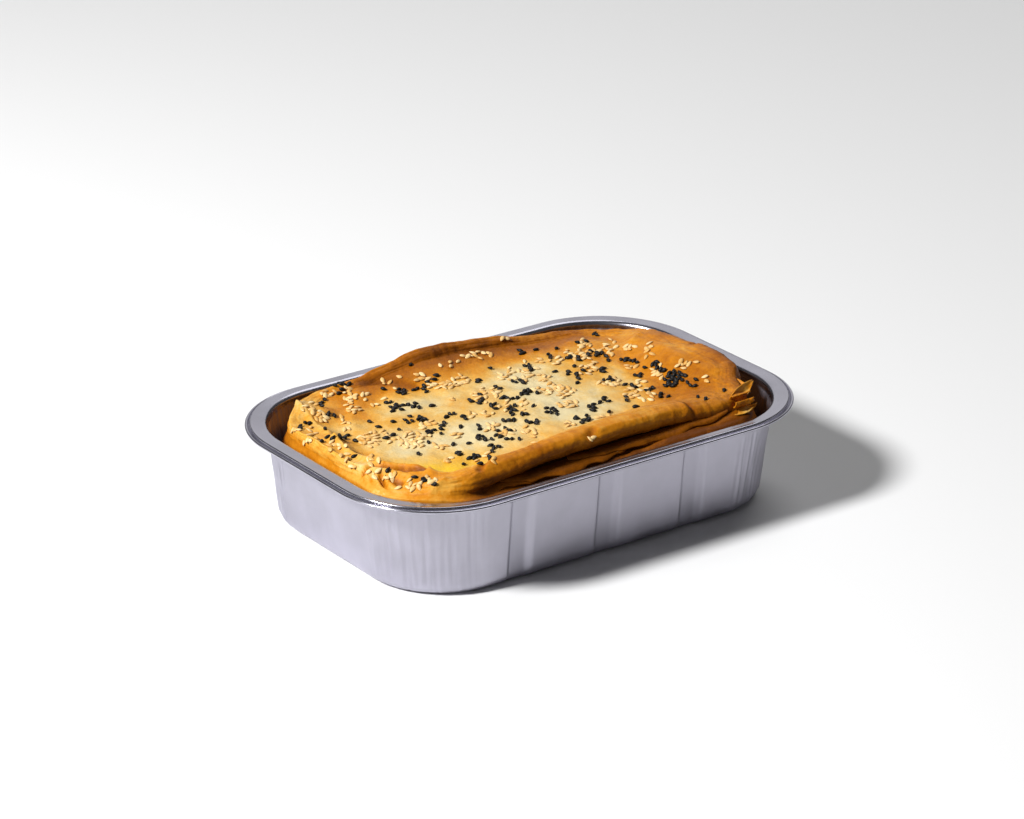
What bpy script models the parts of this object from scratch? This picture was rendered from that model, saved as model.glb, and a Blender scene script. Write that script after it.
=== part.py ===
"""Spanakopita baked in its own foil tray.

The tray is a smooth-walled loaf-shaped foil dish with a flat flange, a rolled lip and
three pressed channels in each long wall. The pie fills it: filo sheets are folded in over
the filling, so that a rolled edge runs round a shallow dish strewn with seeds.
"""
import bisect
import math
import random

import bmesh
import bpy
from mathutils import Matrix, Vector, noise
from mathutils.bvhtree import BVHTree
from mathutils.geometry import delaunay_2d_cdt

# Tray, outside sizes in metres
RIM_LENGTH = 0.2220
RIM_WIDTH = 0.1480
RIM_CORNER = 0.0457
TRAY_HEIGHT = 0.0442
WALL_TOP_LENGTH = 0.2038
WALL_TOP_WIDTH = 0.1336
WALL_TOP_CORNER = 0.0388
FLOOR_LENGTH = 0.1922
FLOOR_WIDTH = 0.1258
FLOOR_CORNER = 0.0350
FOIL = 0.0005
BASE_FILLET = 0.0060
FILLET_ANGLES = (0.0, 30.0, 60.0, 90.0)
FLANGE_EDGE_RADIUS = 0.0022
LEDGE_TOP = 0.0030
LEDGE_BOTTOM = 0.0036
# The wall's turn out into the flange, in radii: distance out, depth below the flange's face
TURN_OUTSIDE = ((0.2, 0.3), (0.8, 0.0))
TURN_INSIDE = ((1.1, 0.0), (0.35, 0.35), (0.0, 1.1))
# Rolled lip from the flange's underside round to its top: distance in from the rim, depth
LIP = (
    (0.0030, 0.0005), (0.0026, 0.0020), (0.0013, 0.0024), (0.0002, 0.0020), (0.0000, 0.0014),
    (0.0005, 0.0008), (0.0012, 0.0010), (0.0017, 0.0018), (0.0021, 0.0017), (0.0022, 0.0004),
    (0.0027, 0.0000),
)
CHANNEL_CENTRES = (-0.0480, -0.0040, 0.0400)
CHANNEL_WIDTH = 0.0100
CHANNEL_LEFT_FLANK = 0.0015
CHANNEL_RIGHT_FLANK = 0.0034
CHANNEL_DEPTH = 0.0018
CORNER_STEPS = 8
TRAY_SHARP_ANGLE = 35

# Pie
PIE_TO_TRAY = 0.0009
SIDE_CLEARANCE = 0.0026
PIE_STEPS = 94
PIE_SEAM_WAY = 6.5
WAY_SAMPLES = 800
# Points stand closer together round the folded corner: its way round, spread, extra density
FOLDED_CORNER = (7.45, 0.65, 1.3)
# Underside and sides of the pie: distance in from the tray's wall, height
PIE_SIDE = ((0.0030, 0.0044), (SIDE_CLEARANCE, 0.0110), (SIDE_CLEARANCE + 0.0006, 0.0300))
PIE_FOOT_INSET = 0.0062
PIE_SHARP_ANGLE = 50
DISH_LEVEL = 0.0440
DISH_TILT = (0.012, 0.010)
DISH_TILT_FROM = (-0.020, 0.0)
# Hollows and swells of the dish: centre x, centre y, spread, height
DISH_WAVES = ((-0.055, -0.038, 0.022, -0.0016), (0.005, -0.005, 0.026, 0.0012))
DISH_RINGS = 5
DISH_CENTRE = 0.6
DISH_MIDDLE_STEP = 0.0080
SLOPE_SHARES = (0.35, 0.7, 1.0)
BAND_SHARES = (0.0, 0.25, 0.5, 0.75, 1.0)
BAND_ROUNDING = 1.5
SPINE_HALF = 0.0340
PLAN_TOLERANCE = 0.000001
RELIEF_HEIGHT = 0.0006
RELIEF_PITCH = 0.0110
RELIEF_FINE = 2.3
RELIEF_ON_RIM = 0.6

# The way round the tray is a number from 0 to 8: whole numbers are the ends of the four
# straight sides and the four corners, which alternate, and it starts at the left end of
# the near side: near 0-1, corner 1-2, right 2-3, corner 3-4, far 4-5, corner 5-6,
# left 6-7, corner 7-8.
# Crest of the crust: way round, distance in from the tray's wall, height above the table
CREST = (
    (0.09, 0.0125, 0.0520), (0.27, 0.0140, 0.0532), (0.43, 0.0145, 0.0540),
    (0.60, 0.0148, 0.0540), (0.79, 0.0155, 0.0528), (0.94, 0.0155, 0.0500),
    (1.15, 0.0162, 0.0488), (1.40, 0.0158, 0.0485), (1.75, 0.0168, 0.0500),
    (2.00, 0.0128, 0.0524),
    (2.30, 0.0120, 0.0534), (2.60, 0.0118, 0.0513), (2.95, 0.0100, 0.0489),
    (3.50, 0.0090, 0.0436), (4.08, 0.0075, 0.0450), (4.26, 0.0075, 0.0492),
    (4.42, 0.0075, 0.0516), (4.58, 0.0075, 0.0530), (4.74, 0.0078, 0.0502),
    (4.88, 0.0080, 0.0472), (5.20, 0.0095, 0.0458), (5.50, 0.0122, 0.0484),
    (5.85, 0.0085, 0.0462), (6.32, 0.0072, 0.0468), (6.64, 0.0070, 0.0460),
    (6.86, 0.0085, 0.0470), (7.30, 0.0090, 0.0474), (7.70, 0.0085, 0.0492),
)
# Flat band inside the crest: way round, width, drop from crest to its inner edge
BAND = (
    (0.10, 0.0030, 0.0010), (0.50, 0.0030, 0.0008), (0.90, 0.0050, 0.0006),
    (1.50, 0.0080, 0.0004), (2.30, 0.0090, 0.0006), (3.10, 0.0090, 0.0004),
    (3.80, 0.0050, 0.0004), (4.20, 0.0045, 0.0026), (4.55, 0.0048, 0.0036),
    (4.85, 0.0048, 0.0020), (5.20, 0.0060, 0.0006),
    (5.60, 0.0090, 0.0010), (6.20, 0.0120, 0.0018), (6.60, 0.0125, 0.0030),
    (6.95, 0.0115, 0.0012), (7.45, 0.0110, -0.0010), (7.85, 0.0060, 0.0002),
)
# Slope from the band down into the dish: way round, length
SLOPE = (
    (0.10, 0.0110), (0.50, 0.0120), (0.95, 0.0160), (1.60, 0.0220), (2.40, 0.0230),
    (3.30, 0.0180), (4.00, 0.0150), (4.60, 0.0190), (5.30, 0.0160), (6.00, 0.0090),
    (6.70, 0.0070), (7.40, 0.0070), (7.80, 0.0080),
)
# How far the crest is rolled over the layers below it, 0 for a plain face
ROLL = (
    (0.05, 0.55), (0.20, 1.0), (0.80, 1.0), (1.30, 0.8), (1.70, 0.55),
    (2.05, 0.75), (2.60, 0.8), (3.20, 0.4), (3.70, 0.2), (4.50, 0.4), (5.30, 0.1),
    (6.00, 0.0), (7.50, 0.0), (7.85, 0.2),
)
# Outer edge of the lower filo layers: way round, distance in from the wall, height
LAYERS = (
    (0.05, 0.0030, 0.0395), (0.30, 0.0045, 0.0380), (0.60, 0.0040, 0.0398),
    (0.90, 0.0030, 0.0418), (1.20, 0.0050, 0.0420), (1.60, 0.0100, 0.0405),
    (2.10, 0.0085, 0.0400), (2.80, 0.0060, 0.0400), (3.50, 0.0060, 0.0380),
    (4.50, 0.0045, 0.0400), (5.50, 0.0085, 0.0390), (6.10, 0.0050, 0.0400),
    (6.80, 0.0045, 0.0410), (7.20, 0.0022, 0.0425), (7.60, 0.0016, 0.0435),
    (7.90, 0.0020, 0.0410),
)
ROLL_RADIUS = 0.0042
# Outer face from the layers up to the crest: share of the plain face, counted from the crest,
# the place where it is rolled, inwards and down from the crest in roll radii, share of folds
FACE = (
    (0.86, -0.30, 2.10, 0.0), (0.70, 0.10, 2.00, 0.0), (0.52, -0.75, 1.85, 0.4),
    (0.34, -1.20, 1.10, 0.8), (0.14, -0.85, 0.30, 1.0),
)
LAYER_LIFT = 0.0022
# Ridges and creases of the top sheet: height, half width, then places in plan
FOLDS = (
    (0.0016, 0.0022, ((-0.0805, 0.0500), (-0.0825, 0.0330), (-0.0845, 0.0195), (-0.0872, 0.0102))),
    (0.0026, 0.0018, ((-0.0872, 0.0102), (-0.0891, -0.0036), (-0.0887, -0.0116), (-0.0876, -0.0192),
                      (-0.0860, -0.0240), (-0.0833, -0.0272), (-0.0809, -0.0308), (-0.0793, -0.0354),
                      (-0.0769, -0.0410))),
    (-0.0024, 0.0011, ((-0.1004, -0.0253), (-0.0985, -0.0232), (-0.0958, -0.0220), (-0.0928, -0.0219),
                       (-0.0898, -0.0231), (-0.0872, -0.0256), (-0.0850, -0.0290))),
    (-0.0030, 0.0012, ((-0.0838, -0.0300), (-0.0822, -0.0336), (-0.0798, -0.0374), (-0.0776, -0.0402))),
    (0.0016, 0.0013, ((-0.0966, -0.0233), (-0.0934, -0.0257), (-0.0908, -0.0288), (-0.0878, -0.0316),
                      (-0.0867, -0.0370), (-0.0850, -0.0410))),
    (0.0014, 0.0012, ((-0.0967, -0.0206), (-0.0988, -0.0264), (-0.1007, -0.0307))),
    (-0.0016, 0.0010, ((-0.0954, -0.0278), (-0.0979, -0.0315))),
    (-0.0026, 0.0011, ((-0.0925, -0.0307), (-0.0944, -0.0356), (-0.0956, -0.0394), (-0.0964, -0.0440))),
    (-0.0022, 0.0014, ((-0.0910, -0.0366), (-0.0905, -0.0415))),
    (0.0013, 0.0013, ((-0.0958, -0.0376), (-0.0972, -0.0452), (-0.0955, -0.0482), (-0.0916, -0.0510),
                      (-0.0874, -0.0539), (-0.0829, -0.0544), (-0.0775, -0.0536))),
    (0.0010, 0.0016, ((-0.0950, 0.0280), (-0.0955, 0.0190), (-0.0955, 0.0060), (-0.0955, -0.0090),
                      (-0.0965, -0.0160))),
    (0.0009, 0.0030, ((-0.0500, 0.0480), (-0.0640, 0.0330), (-0.0700, 0.0230))),
    (-0.0010, 0.0030, ((-0.0420, 0.0560), (-0.0330, 0.0500), (-0.0260, 0.0420))),
    (-0.0012, 0.0016, ((-0.0620, -0.0555), (-0.0560, -0.0520), (-0.0540, -0.0480))),
    (0.0010, 0.0016, ((-0.0590, -0.0560), (-0.0520, -0.0510))),
    (-0.0012, 0.0014, ((0.0465, -0.0520), (0.0475, -0.0575))),
    (0.0009, 0.0014, ((0.0440, -0.0530), (0.0445, -0.0570))),
    (-0.0010, 0.0016, ((-0.0075, -0.0560), (-0.0040, -0.0545))),
    (0.0008, 0.0040, ((0.0650, -0.0180), (0.0760, -0.0080), (0.0800, 0.0080))),
    (-0.0010, 0.0014, ((0.0900, -0.0020), (0.0945, -0.0040))),
    (0.0007, 0.0016, ((0.0780, 0.0250), (0.0855, 0.0290))),
    (0.0005, 0.0030, ((-0.0300, -0.0050), (-0.0100, -0.0100), (0.0150, -0.0050))),
    (0.0005, 0.0028, ((-0.0100, 0.0150), (0.0100, 0.0080), (0.0400, 0.0120))),
)
# A fold is this much wider than it looks, so that the crust's points can follow it
FOLD_EASING = 0.0007
# A high ridge has a sharp crest, a low one or a crease is round
SHARP_FOLD_FROM = 0.0008
SHARP_FOLD_POWER = 1.25
ROUND_FOLD_POWER = 2.0

# Edges of lower sheets that show below the roll: way round from, to, inset, height, reach
SHEETS = (
    (0.08, 0.62, 0.0105, 0.0440, 0.0046), (0.35, 1.05, 0.0110, 0.0450, 0.0034),
    (0.60, 1.40, 0.0100, 0.0434, 0.0044), (7.80, 8.35, 0.0105, 0.0434, 0.0038),
)
SHEET_THICKNESS = 0.0007
SHEET_ROOT = 0.0060
SHEET_SINK = 0.75
SHEET_STEPS = 9
SHEET_END = 0.04
SHEET_WAVE = 0.0006
SHEET_WAVE_TURN = 2.1
# Curled flakes: foot x, y, z, heading, tilt in degrees, length, width, lift at the tip, wrap
# of the section in degrees
FLAKES = (
    (0.0805, -0.0375, 0.0466, -38, 20, 0.0080, 0.0068, 0.0010, 50),
    (0.0835, -0.0290, 0.0462, -30, 30, 0.0085, 0.0060, 0.0008, 60),
    (0.0705, -0.0512, 0.0462, 20, 48, 0.0185, 0.0058, 0.0034, 80),
    (0.0690, -0.0532, 0.0455, -4, 35, 0.0095, 0.0120, 0.0006, 290),
    (0.0680, -0.0560, 0.0432, -8, 20, 0.0105, 0.0050, 0.0010, 60),
    (0.0715, -0.0555, 0.0425, -12, 55, 0.0085, 0.0036, 0.0026, 70),
    (-0.0984, -0.0318, 0.0424, -78, 25, 0.0085, 0.0034, 0.0003, 40),
)
FLAKE_THICKNESS = 0.0007
FLAKE_STEPS = 5
# Points across a flake for each degree of its wrap, above the least number
FLAKE_LEAST_ACROSS = 2
FLAKE_ACROSS = 0.022
FLAKE_BASE = 0.20
FLAKE_POINT = 0.76
FLAKE_EDGE = 0.0003
FLAKE_LIFT_POWER = 1.6
# From this wrap on a flake is a tube, which keeps its width to the end
TUBE_WRAP = 180

# Seeds
SESAME_SIZE = (0.0034, 0.0020, 0.0012)
NIGELLA_SIZE = (0.0031, 0.0019, 0.0016)
SEED_SIDES = 5
# Girth of a seed along its length, both from 0 to 1
SEED_GIRTHS = ((0.22, 0.80), (0.50, 1.0), (0.78, 0.62))
SEED_SINK = 0.25
SEED_SPACING = 0.0044
SEED_TIP = 0.12
SEED_LEVEL = 0.60
SEED_LOWEST = 0.0405
SEED_TRIES = 40
SEED_DRAW = 17
# Drifts of seeds: centre x, centre y, spread, number
SESAME_DRIFTS = (
    (-0.090, 0.012, 0.007, 6), (-0.092, -0.014, 0.006, 4), (-0.089, -0.040, 0.005, 4),
    (-0.076, 0.040, 0.004, 3), (-0.061, 0.040, 0.005, 5), (-0.070, 0.008, 0.006, 5),
    (-0.057, -0.004, 0.007, 5), (-0.053, 0.047, 0.003, 1), (-0.012, 0.037, 0.008, 4),
    (-0.007, 0.020, 0.007, 3), (0.014, 0.046, 0.007, 3), (0.021, 0.031, 0.006, 3),
    (0.018, 0.004, 0.007, 3), (0.048, 0.012, 0.006, 3), (0.050, -0.020, 0.006, 3),
    (0.060, 0.033, 0.007, 3), (-0.019, -0.018, 0.008, 2), (-0.045, -0.036, 0.004, 1),
    (0.074, 0.012, 0.006, 2), (-0.056, -0.028, 0.004, 1),
)
NIGELLA_DRIFTS = (
    (-0.046, 0.030, 0.005, 3), (-0.045, 0.014, 0.005, 3), (-0.083, 0.011, 0.005, 3),
    (-0.055, 0.054, 0.004, 2), (-0.072, 0.040, 0.004, 1), (-0.031, -0.018, 0.007, 4),
    (-0.030, 0.018, 0.008, 2), (-0.022, 0.041, 0.006, 2), (-0.007, 0.002, 0.006, 4),
    (-0.010, 0.014, 0.006, 1), (0.006, 0.010, 0.006, 2), (0.010, -0.016, 0.007, 3),
    (0.036, 0.038, 0.007, 3), (0.052, 0.026, 0.006, 2), (0.058, 0.008, 0.006, 3),
    (0.053, -0.014, 0.006, 2), (0.066, -0.020, 0.005, 5), (0.060, -0.043, 0.006, 1),
    (-0.077, -0.041, 0.004, 1), (0.025, -0.018, 0.006, 1),
)


def clear_scene():
    for obj in list(bpy.data.objects):
        bpy.data.objects.remove(obj, do_unlink=True)


def material(name, colour, roughness, metallic=0.0):
    mat = bpy.data.materials.new(name)
    mat.use_nodes = True
    shader = mat.node_tree.nodes["Principled BSDF"]
    shader.inputs["Base Color"].default_value = (*colour, 1.0)
    shader.inputs["Roughness"].default_value = roughness
    shader.inputs["Metallic"].default_value = metallic
    return mat


def add_object(name, mesh, mat):
    mesh.materials.clear()
    mesh.materials.append(mat)
    obj = bpy.data.objects.new(name, mesh)
    bpy.context.scene.collection.objects.link(obj)
    return obj


def mesh_from(name, rings, middle=()):
    """Closed skin over rings that have equal numbers of points, with both ends capped.

    Points in the middle of the last ring carry its cap."""
    count = len(rings[0])
    verts = [point for ring in rings for point in ring] + list(middle)
    faces = []
    for r in range(len(rings) - 1):
        for i in range(count):
            j = (i + 1) % count
            faces.append((r * count + i, r * count + j, (r + 1) * count + j, (r + 1) * count + i))
    faces.append(tuple(reversed(range(count))))
    last = (len(rings) - 1) * count
    if middle:
        flat = [Vector((x, y)) for x, y, _ in verts[last:]]
        border = [list(range(count))]
        _, _, cap, sources, _, _ = delaunay_2d_cdt(flat, [], border, 1, PLAN_TOLERANCE)
        faces += [tuple(last + sources[v][0] for v in face) for face in cap]
    else:
        faces.append(tuple(range(last, last + count)))
    mesh = bpy.data.meshes.new(name)
    mesh.from_pydata([tuple(v) for v in verts], [], faces)
    mesh.validate()
    return mesh


def blend_table(table, way, column):
    """Smooth value at a way round, through the table's stations and closed at 8."""
    places = [row[0] for row in table]
    count = len(table)
    i = bisect.bisect_right(places, way % 8.0) - 1

    def station(k):
        return places[k % count] + 8.0 * (k // count), table[k % count][column]

    (p0, v0), (p1, v1), (p2, v2), (p3, v3) = (station(i + k) for k in (-1, 0, 1, 2))
    w = way % 8.0
    t = (w - p1) / (p2 - p1)
    m1 = (v2 - v0) / (p2 - p0) * (p2 - p1)
    m2 = (v3 - v1) / (p3 - p1) * (p2 - p1)
    a = 2 * t**3 - 3 * t**2 + 1
    b = t**3 - 2 * t**2 + t
    c = -2 * t**3 + 3 * t**2
    d = t**3 - t**2
    return a * v1 + b * m1 + c * v2 + d * m2


def outline_point(half_x, half_y, corner, way):
    """Point and inward normal on a rounded rectangle."""
    way = way % 8.0
    leg = int(way)
    t = way - leg
    x = half_x - corner
    y = half_y - corner
    centres = ((x, -y), (x, y), (-x, y), (-x, -y))
    if leg % 2:
        quarter = leg // 2
        angle = math.radians(-90.0 + 90.0 * quarter + 90.0 * t)
        cx, cy = centres[quarter]
        out = Vector((math.cos(angle), math.sin(angle)))
        return Vector((cx, cy)) + corner * out, -out
    side = leg // 2
    start = ((-x, -half_y), (half_x, -y), (x, half_y), (-half_x, y))[side]
    end = ((x, -half_y), (half_x, y), (-x, half_y), (-half_x, -y))[side]
    point = Vector(start).lerp(Vector(end), t)
    normal = (Vector((0, 1)), Vector((-1, 0)), Vector((0, -1)), Vector((1, 0)))[side]
    return point, normal


def wall_outline(height, way, inset=0.0):
    """Point on the tray wall's outer face at a height, moved in by an inset."""
    t = min(max(height / TRAY_HEIGHT, 0.0), 1.0)
    half_x = 0.5 * (FLOOR_LENGTH + t * (WALL_TOP_LENGTH - FLOOR_LENGTH))
    half_y = 0.5 * (FLOOR_WIDTH + t * (WALL_TOP_WIDTH - FLOOR_WIDTH))
    corner = FLOOR_CORNER + t * (WALL_TOP_CORNER - FLOOR_CORNER)
    point, normal = outline_point(half_x, half_y, corner, way)
    return point + inset * normal, normal


def tray_ways():
    """Ways round at which the tray's rings have points, with the channel depth there."""
    straight = 0.5 * WALL_TOP_LENGTH - WALL_TOP_CORNER
    stops = []
    half = 0.5 * CHANNEL_WIDTH
    left = 0.5 * CHANNEL_LEFT_FLANK
    right = 0.5 * CHANNEL_RIGHT_FLANK
    for centre in CHANNEL_CENTRES:
        for offset, depth in (
            (-half - left, 0.0), (-half + left, 1.0), (half - right, 1.0), (half + right, 0.0),
        ):
            stops.append(((centre + offset + straight) / (2 * straight), depth))
    ways = [(0.0, 0.0)] + stops
    ways += [(1.0 + k / CORNER_STEPS, 0.0) for k in range(CORNER_STEPS + 1)]
    ways += [(2.5, 0.0)]
    ways += [(3.0 + k / CORNER_STEPS, 0.0) for k in range(CORNER_STEPS + 1)]
    ways += [(5.0 - place, depth) for place, depth in reversed(stops)]
    ways += [(5.0 + k / CORNER_STEPS, 0.0) for k in range(CORNER_STEPS + 1)]
    ways += [(6.5, 0.0)]
    ways += [(7.0 + k / CORNER_STEPS, 0.0) for k in range(CORNER_STEPS)]
    return ways


def build_tray():
    """Foil tray as one closed skin, from the floor's middle out, over the lip and back in."""
    ways = tray_ways()

    def wall_ring(height, inset, channel, level=None):
        ring = []
        for way, depth in ways:
            point, normal = wall_outline(height, way, inset)
            point = point + normal * depth * channel * CHANNEL_DEPTH
            ring.append((point.x, point.y, height if level is None else level))
        return ring

    def rim_ring(inset, height):
        ring = []
        for way, _ in ways:
            point, normal = outline_point(0.5 * RIM_LENGTH, 0.5 * RIM_WIDTH, RIM_CORNER, way)
            point = point + normal * inset
            ring.append((point.x, point.y, height))
        return ring

    def fillet_ring(angle, inset, channel):
        lift = BASE_FILLET * (1.0 - math.cos(angle))
        pull = BASE_FILLET * (1.0 - math.sin(angle))
        radius_left = 1.0 - inset / BASE_FILLET
        return wall_ring(BASE_FILLET, inset + pull * radius_left, channel, inset + lift * radius_left)

    top = TRAY_HEIGHT
    under = top - FOIL
    edge = FLANGE_EDGE_RADIUS
    rings = [fillet_ring(math.radians(a), 0.0, a / 90.0) for a in FILLET_ANGLES]
    rings.append(wall_ring(0.5 * TRAY_HEIGHT, 0.0, 1.0))
    rings.append(wall_ring(top - LEDGE_BOTTOM, 0.0, 1.0))
    rings.append(wall_ring(top - LEDGE_TOP, 0.0, 0.0))
    rings += [wall_ring(under - down * edge, -out * edge, 0.0) for out, down in TURN_OUTSIDE]
    rings += [rim_ring(inset, top - depth) for inset, depth in LIP]
    rings += [wall_ring(top - down * edge, FOIL - out * edge, 0.0) for out, down in TURN_INSIDE]
    rings.append(wall_ring(top - LEDGE_TOP - FOIL, FOIL, 0.0))
    rings.append(wall_ring(top - LEDGE_BOTTOM - FOIL, FOIL, 1.0))
    rings.append(wall_ring(0.5 * TRAY_HEIGHT, FOIL, 1.0))
    rings += [fillet_ring(math.radians(a), FOIL, a / 90.0) for a in reversed(FILLET_ANGLES)]
    mesh = mesh_from("foil_tray", rings)
    mesh.shade_smooth()
    mesh.set_sharp_from_angle(angle=math.radians(TRAY_SHARP_ANGLE))
    return add_object("foil_tray", mesh, material("foil", (0.62, 0.62, 0.66), 0.32, 1.0))


def relief(x, y):
    """Low unevenness of the baked sheets."""
    place = Vector((x, y, 0.0)) / RELIEF_PITCH
    return RELIEF_HEIGHT * (noise.noise(place) + 0.5 * noise.noise(RELIEF_FINE * place))


def dish_height(x, y):
    """Floor of the dish: lowest near the front left corner, rising to the right."""
    height = DISH_LEVEL
    height += DISH_TILT[0] * (x - DISH_TILT_FROM[0]) + DISH_TILT[1] * (y - DISH_TILT_FROM[1])
    for centre_x, centre_y, spread, swell in DISH_WAVES:
        away = (x - centre_x) ** 2 + (y - centre_y) ** 2
        height += swell * math.exp(-away / spread**2)
    return height


def fold_height(x, y):
    """Height that the ridges and creases add at a place in plan."""
    place = Vector((x, y))
    height = 0.0
    for lift, half, line in FOLDS:
        nearest = math.inf
        for start, end in zip(line, line[1:]):
            a = Vector(start)
            span = Vector(end) - a
            t = min(max((place - a).dot(span) / span.length_squared, 0.0), 1.0)
            nearest = min(nearest, (place - a - t * span).length)
        power = SHARP_FOLD_POWER if lift > SHARP_FOLD_FROM else ROUND_FOLD_POWER
        height += lift * math.exp(-((nearest / (half + FOLD_EASING)) ** power))
    return height


def crust_profile(way):
    """Section of the crust at a way round, as (inset, height, share of the folds) points.

    It runs from the layers' edge over the crest to the band's inner edge."""
    crest_in = blend_table(CREST, way, 1)
    crest_z = blend_table(CREST, way, 2)
    band = blend_table(BAND, way, 1)
    drop = blend_table(BAND, way, 2)
    roll = min(max(blend_table(ROLL, way, 1), 0.0), 1.0)
    layer_in = blend_table(LAYERS, way, 1)
    layer_z = blend_table(LAYERS, way, 2)
    points = [(layer_in, layer_z, 0.0)]
    for share, rolled_in, rolled_down, folds in FACE:
        inset = crest_in + share * (layer_in - crest_in)
        height = crest_z + share * (layer_z - crest_z)
        roll_z = crest_z - rolled_down * ROLL_RADIUS
        if len(points) == 1:
            roll_z = min(layer_z + LAYER_LIFT, roll_z)
        inset += roll * (crest_in + rolled_in * ROLL_RADIUS - inset)
        height += roll * (roll_z - height)
        points.append((inset, height, folds))
    for share in BAND_SHARES:
        points.append((crest_in + share * band, crest_z - drop * share**BAND_ROUNDING, 1.0))
    return points


def pie_ways():
    """Ways round the pie, closer together at the folded corner."""
    fine = [PIE_SEAM_WAY + 8.0 * k / WAY_SAMPLES for k in range(WAY_SAMPLES + 1)]
    points = [wall_outline(TRAY_HEIGHT, w)[0] for w in fine]
    middle, spread, extra = FOLDED_CORNER
    run = [0.0]
    for way, a, b in zip(fine, points, points[1:]):
        away = (way % 8.0 - middle) / spread
        run.append(run[-1] + (b - a).length * (1.0 + extra * math.exp(-away * away)))
    ways = []
    for k in range(PIE_STEPS):
        target = run[-1] * k / PIE_STEPS
        i = bisect.bisect_right(run, target) - 1
        ways.append(fine[i] + (fine[i + 1] - fine[i]) * (target - run[i]) / (run[i + 1] - run[i]))
    return ways


def build_crust():
    """Pie as one closed body, ring by ring from its flat underside up and over to the dish."""
    columns = []
    for way in pie_ways():
        column = []
        for inset, height in ((PIE_FOOT_INSET, FOIL + PIE_TO_TRAY),) + PIE_SIDE:
            point, _ = wall_outline(height, way, inset)
            column.append((point.x, point.y, height))
        profile = crust_profile(way)
        for inset, height, folds in profile:
            point, _ = wall_outline(height, way, inset)
            height += RELIEF_ON_RIM * relief(point.x, point.y) + folds * fold_height(point.x, point.y)
            column.append((point.x, point.y, height))
        inner_in, inner_z, _ = profile[-1]
        start, _ = wall_outline(TRAY_HEIGHT, way, inner_in)
        spine = Vector((min(max(start.x, -SPINE_HALF), SPINE_HALF), 0.0))
        edge = start.lerp(spine, blend_table(SLOPE, way, 1) / (spine - start).length)
        for share in SLOPE_SHARES:
            point = start.lerp(edge, share)
            fall = 0.5 - 0.5 * math.cos(math.pi * share)
            height = inner_z + fall * (dish_height(point.x, point.y) - inner_z)
            height += relief(point.x, point.y) + fold_height(point.x, point.y)
            column.append((point.x, point.y, height))
        for k in range(1, DISH_RINGS + 1):
            point = edge.lerp(spine, k / (DISH_RINGS + DISH_CENTRE))
            height = dish_height(point.x, point.y)
            height += relief(point.x, point.y) + fold_height(point.x, point.y)
            column.append((point.x, point.y, height))
        columns.append(column)
    rings = [list(ring) for ring in zip(*columns)]
    middle = []
    steps = round(2 * SPINE_HALF / DISH_MIDDLE_STEP)
    for k in range(steps + 1):
        x = SPINE_HALF * (2 * k / steps - 1)
        middle.append((x, 0.0, dish_height(x, 0.0) + relief(x, 0.0) + fold_height(x, 0.0)))
    mesh = mesh_from("spanakopita", rings, middle)
    return add_object("spanakopita", mesh, material("crust", (0.62, 0.33, 0.09), 0.45))


def band_solid(name, top, bottom):
    """Closed sheet between two grids of points."""
    rows = len(top)
    cols = len(top[0])
    verts = [p for row in top for p in row] + [p for row in bottom for p in row]
    shift = rows * cols
    faces = []
    for i in range(rows - 1):
        for j in range(cols - 1):
            a = i * cols + j
            quad = (a, a + 1, a + cols + 1, a + cols)
            faces.append(quad)
            faces.append(tuple(shift + v for v in reversed(quad)))
    loop = [j for j in range(cols)]
    loop += [i * cols + cols - 1 for i in range(1, rows)]
    loop += [(rows - 1) * cols + j for j in reversed(range(cols - 1))]
    loop += [i * cols for i in reversed(range(1, rows - 1))]
    for a, b in zip(loop, loop[1:] + loop[:1]):
        faces.append((b, a, shift + a, shift + b))
    mesh = bpy.data.meshes.new(name)
    mesh.from_pydata([tuple(v) for v in verts], [], faces)
    bm = bmesh.new()
    bm.from_mesh(mesh)
    bmesh.ops.recalc_face_normals(bm, faces=bm.faces[:])
    bm.to_mesh(mesh)
    bm.free()
    return mesh


def sheet_mesh(index, start, end, inset, height, reach):
    """Lower filo sheet that hangs out below the roll."""
    top = []
    bottom = []
    for k in range(SHEET_STEPS + 1):
        t = k / SHEET_STEPS
        way = start + (end - start) * t
        taper = math.sin(math.pi * (SHEET_END + (1.0 - 2.0 * SHEET_END) * t))
        wave = SHEET_WAVE * math.sin(SHEET_WAVE_TURN * k + index) * taper
        row_top = []
        row_bottom = []
        for out in (-SHEET_ROOT, 0.0, reach * taper):
            point, _ = wall_outline(TRAY_HEIGHT, way, inset - out)
            level = height - SHEET_SINK * max(out, 0.0) + wave
            row_top.append((point.x, point.y, level))
            row_bottom.append((point.x, point.y, level - SHEET_THICKNESS))
        top.append(row_top)
        bottom.append(row_bottom)
    return band_solid("sheet_%d" % index, top, bottom)


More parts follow.
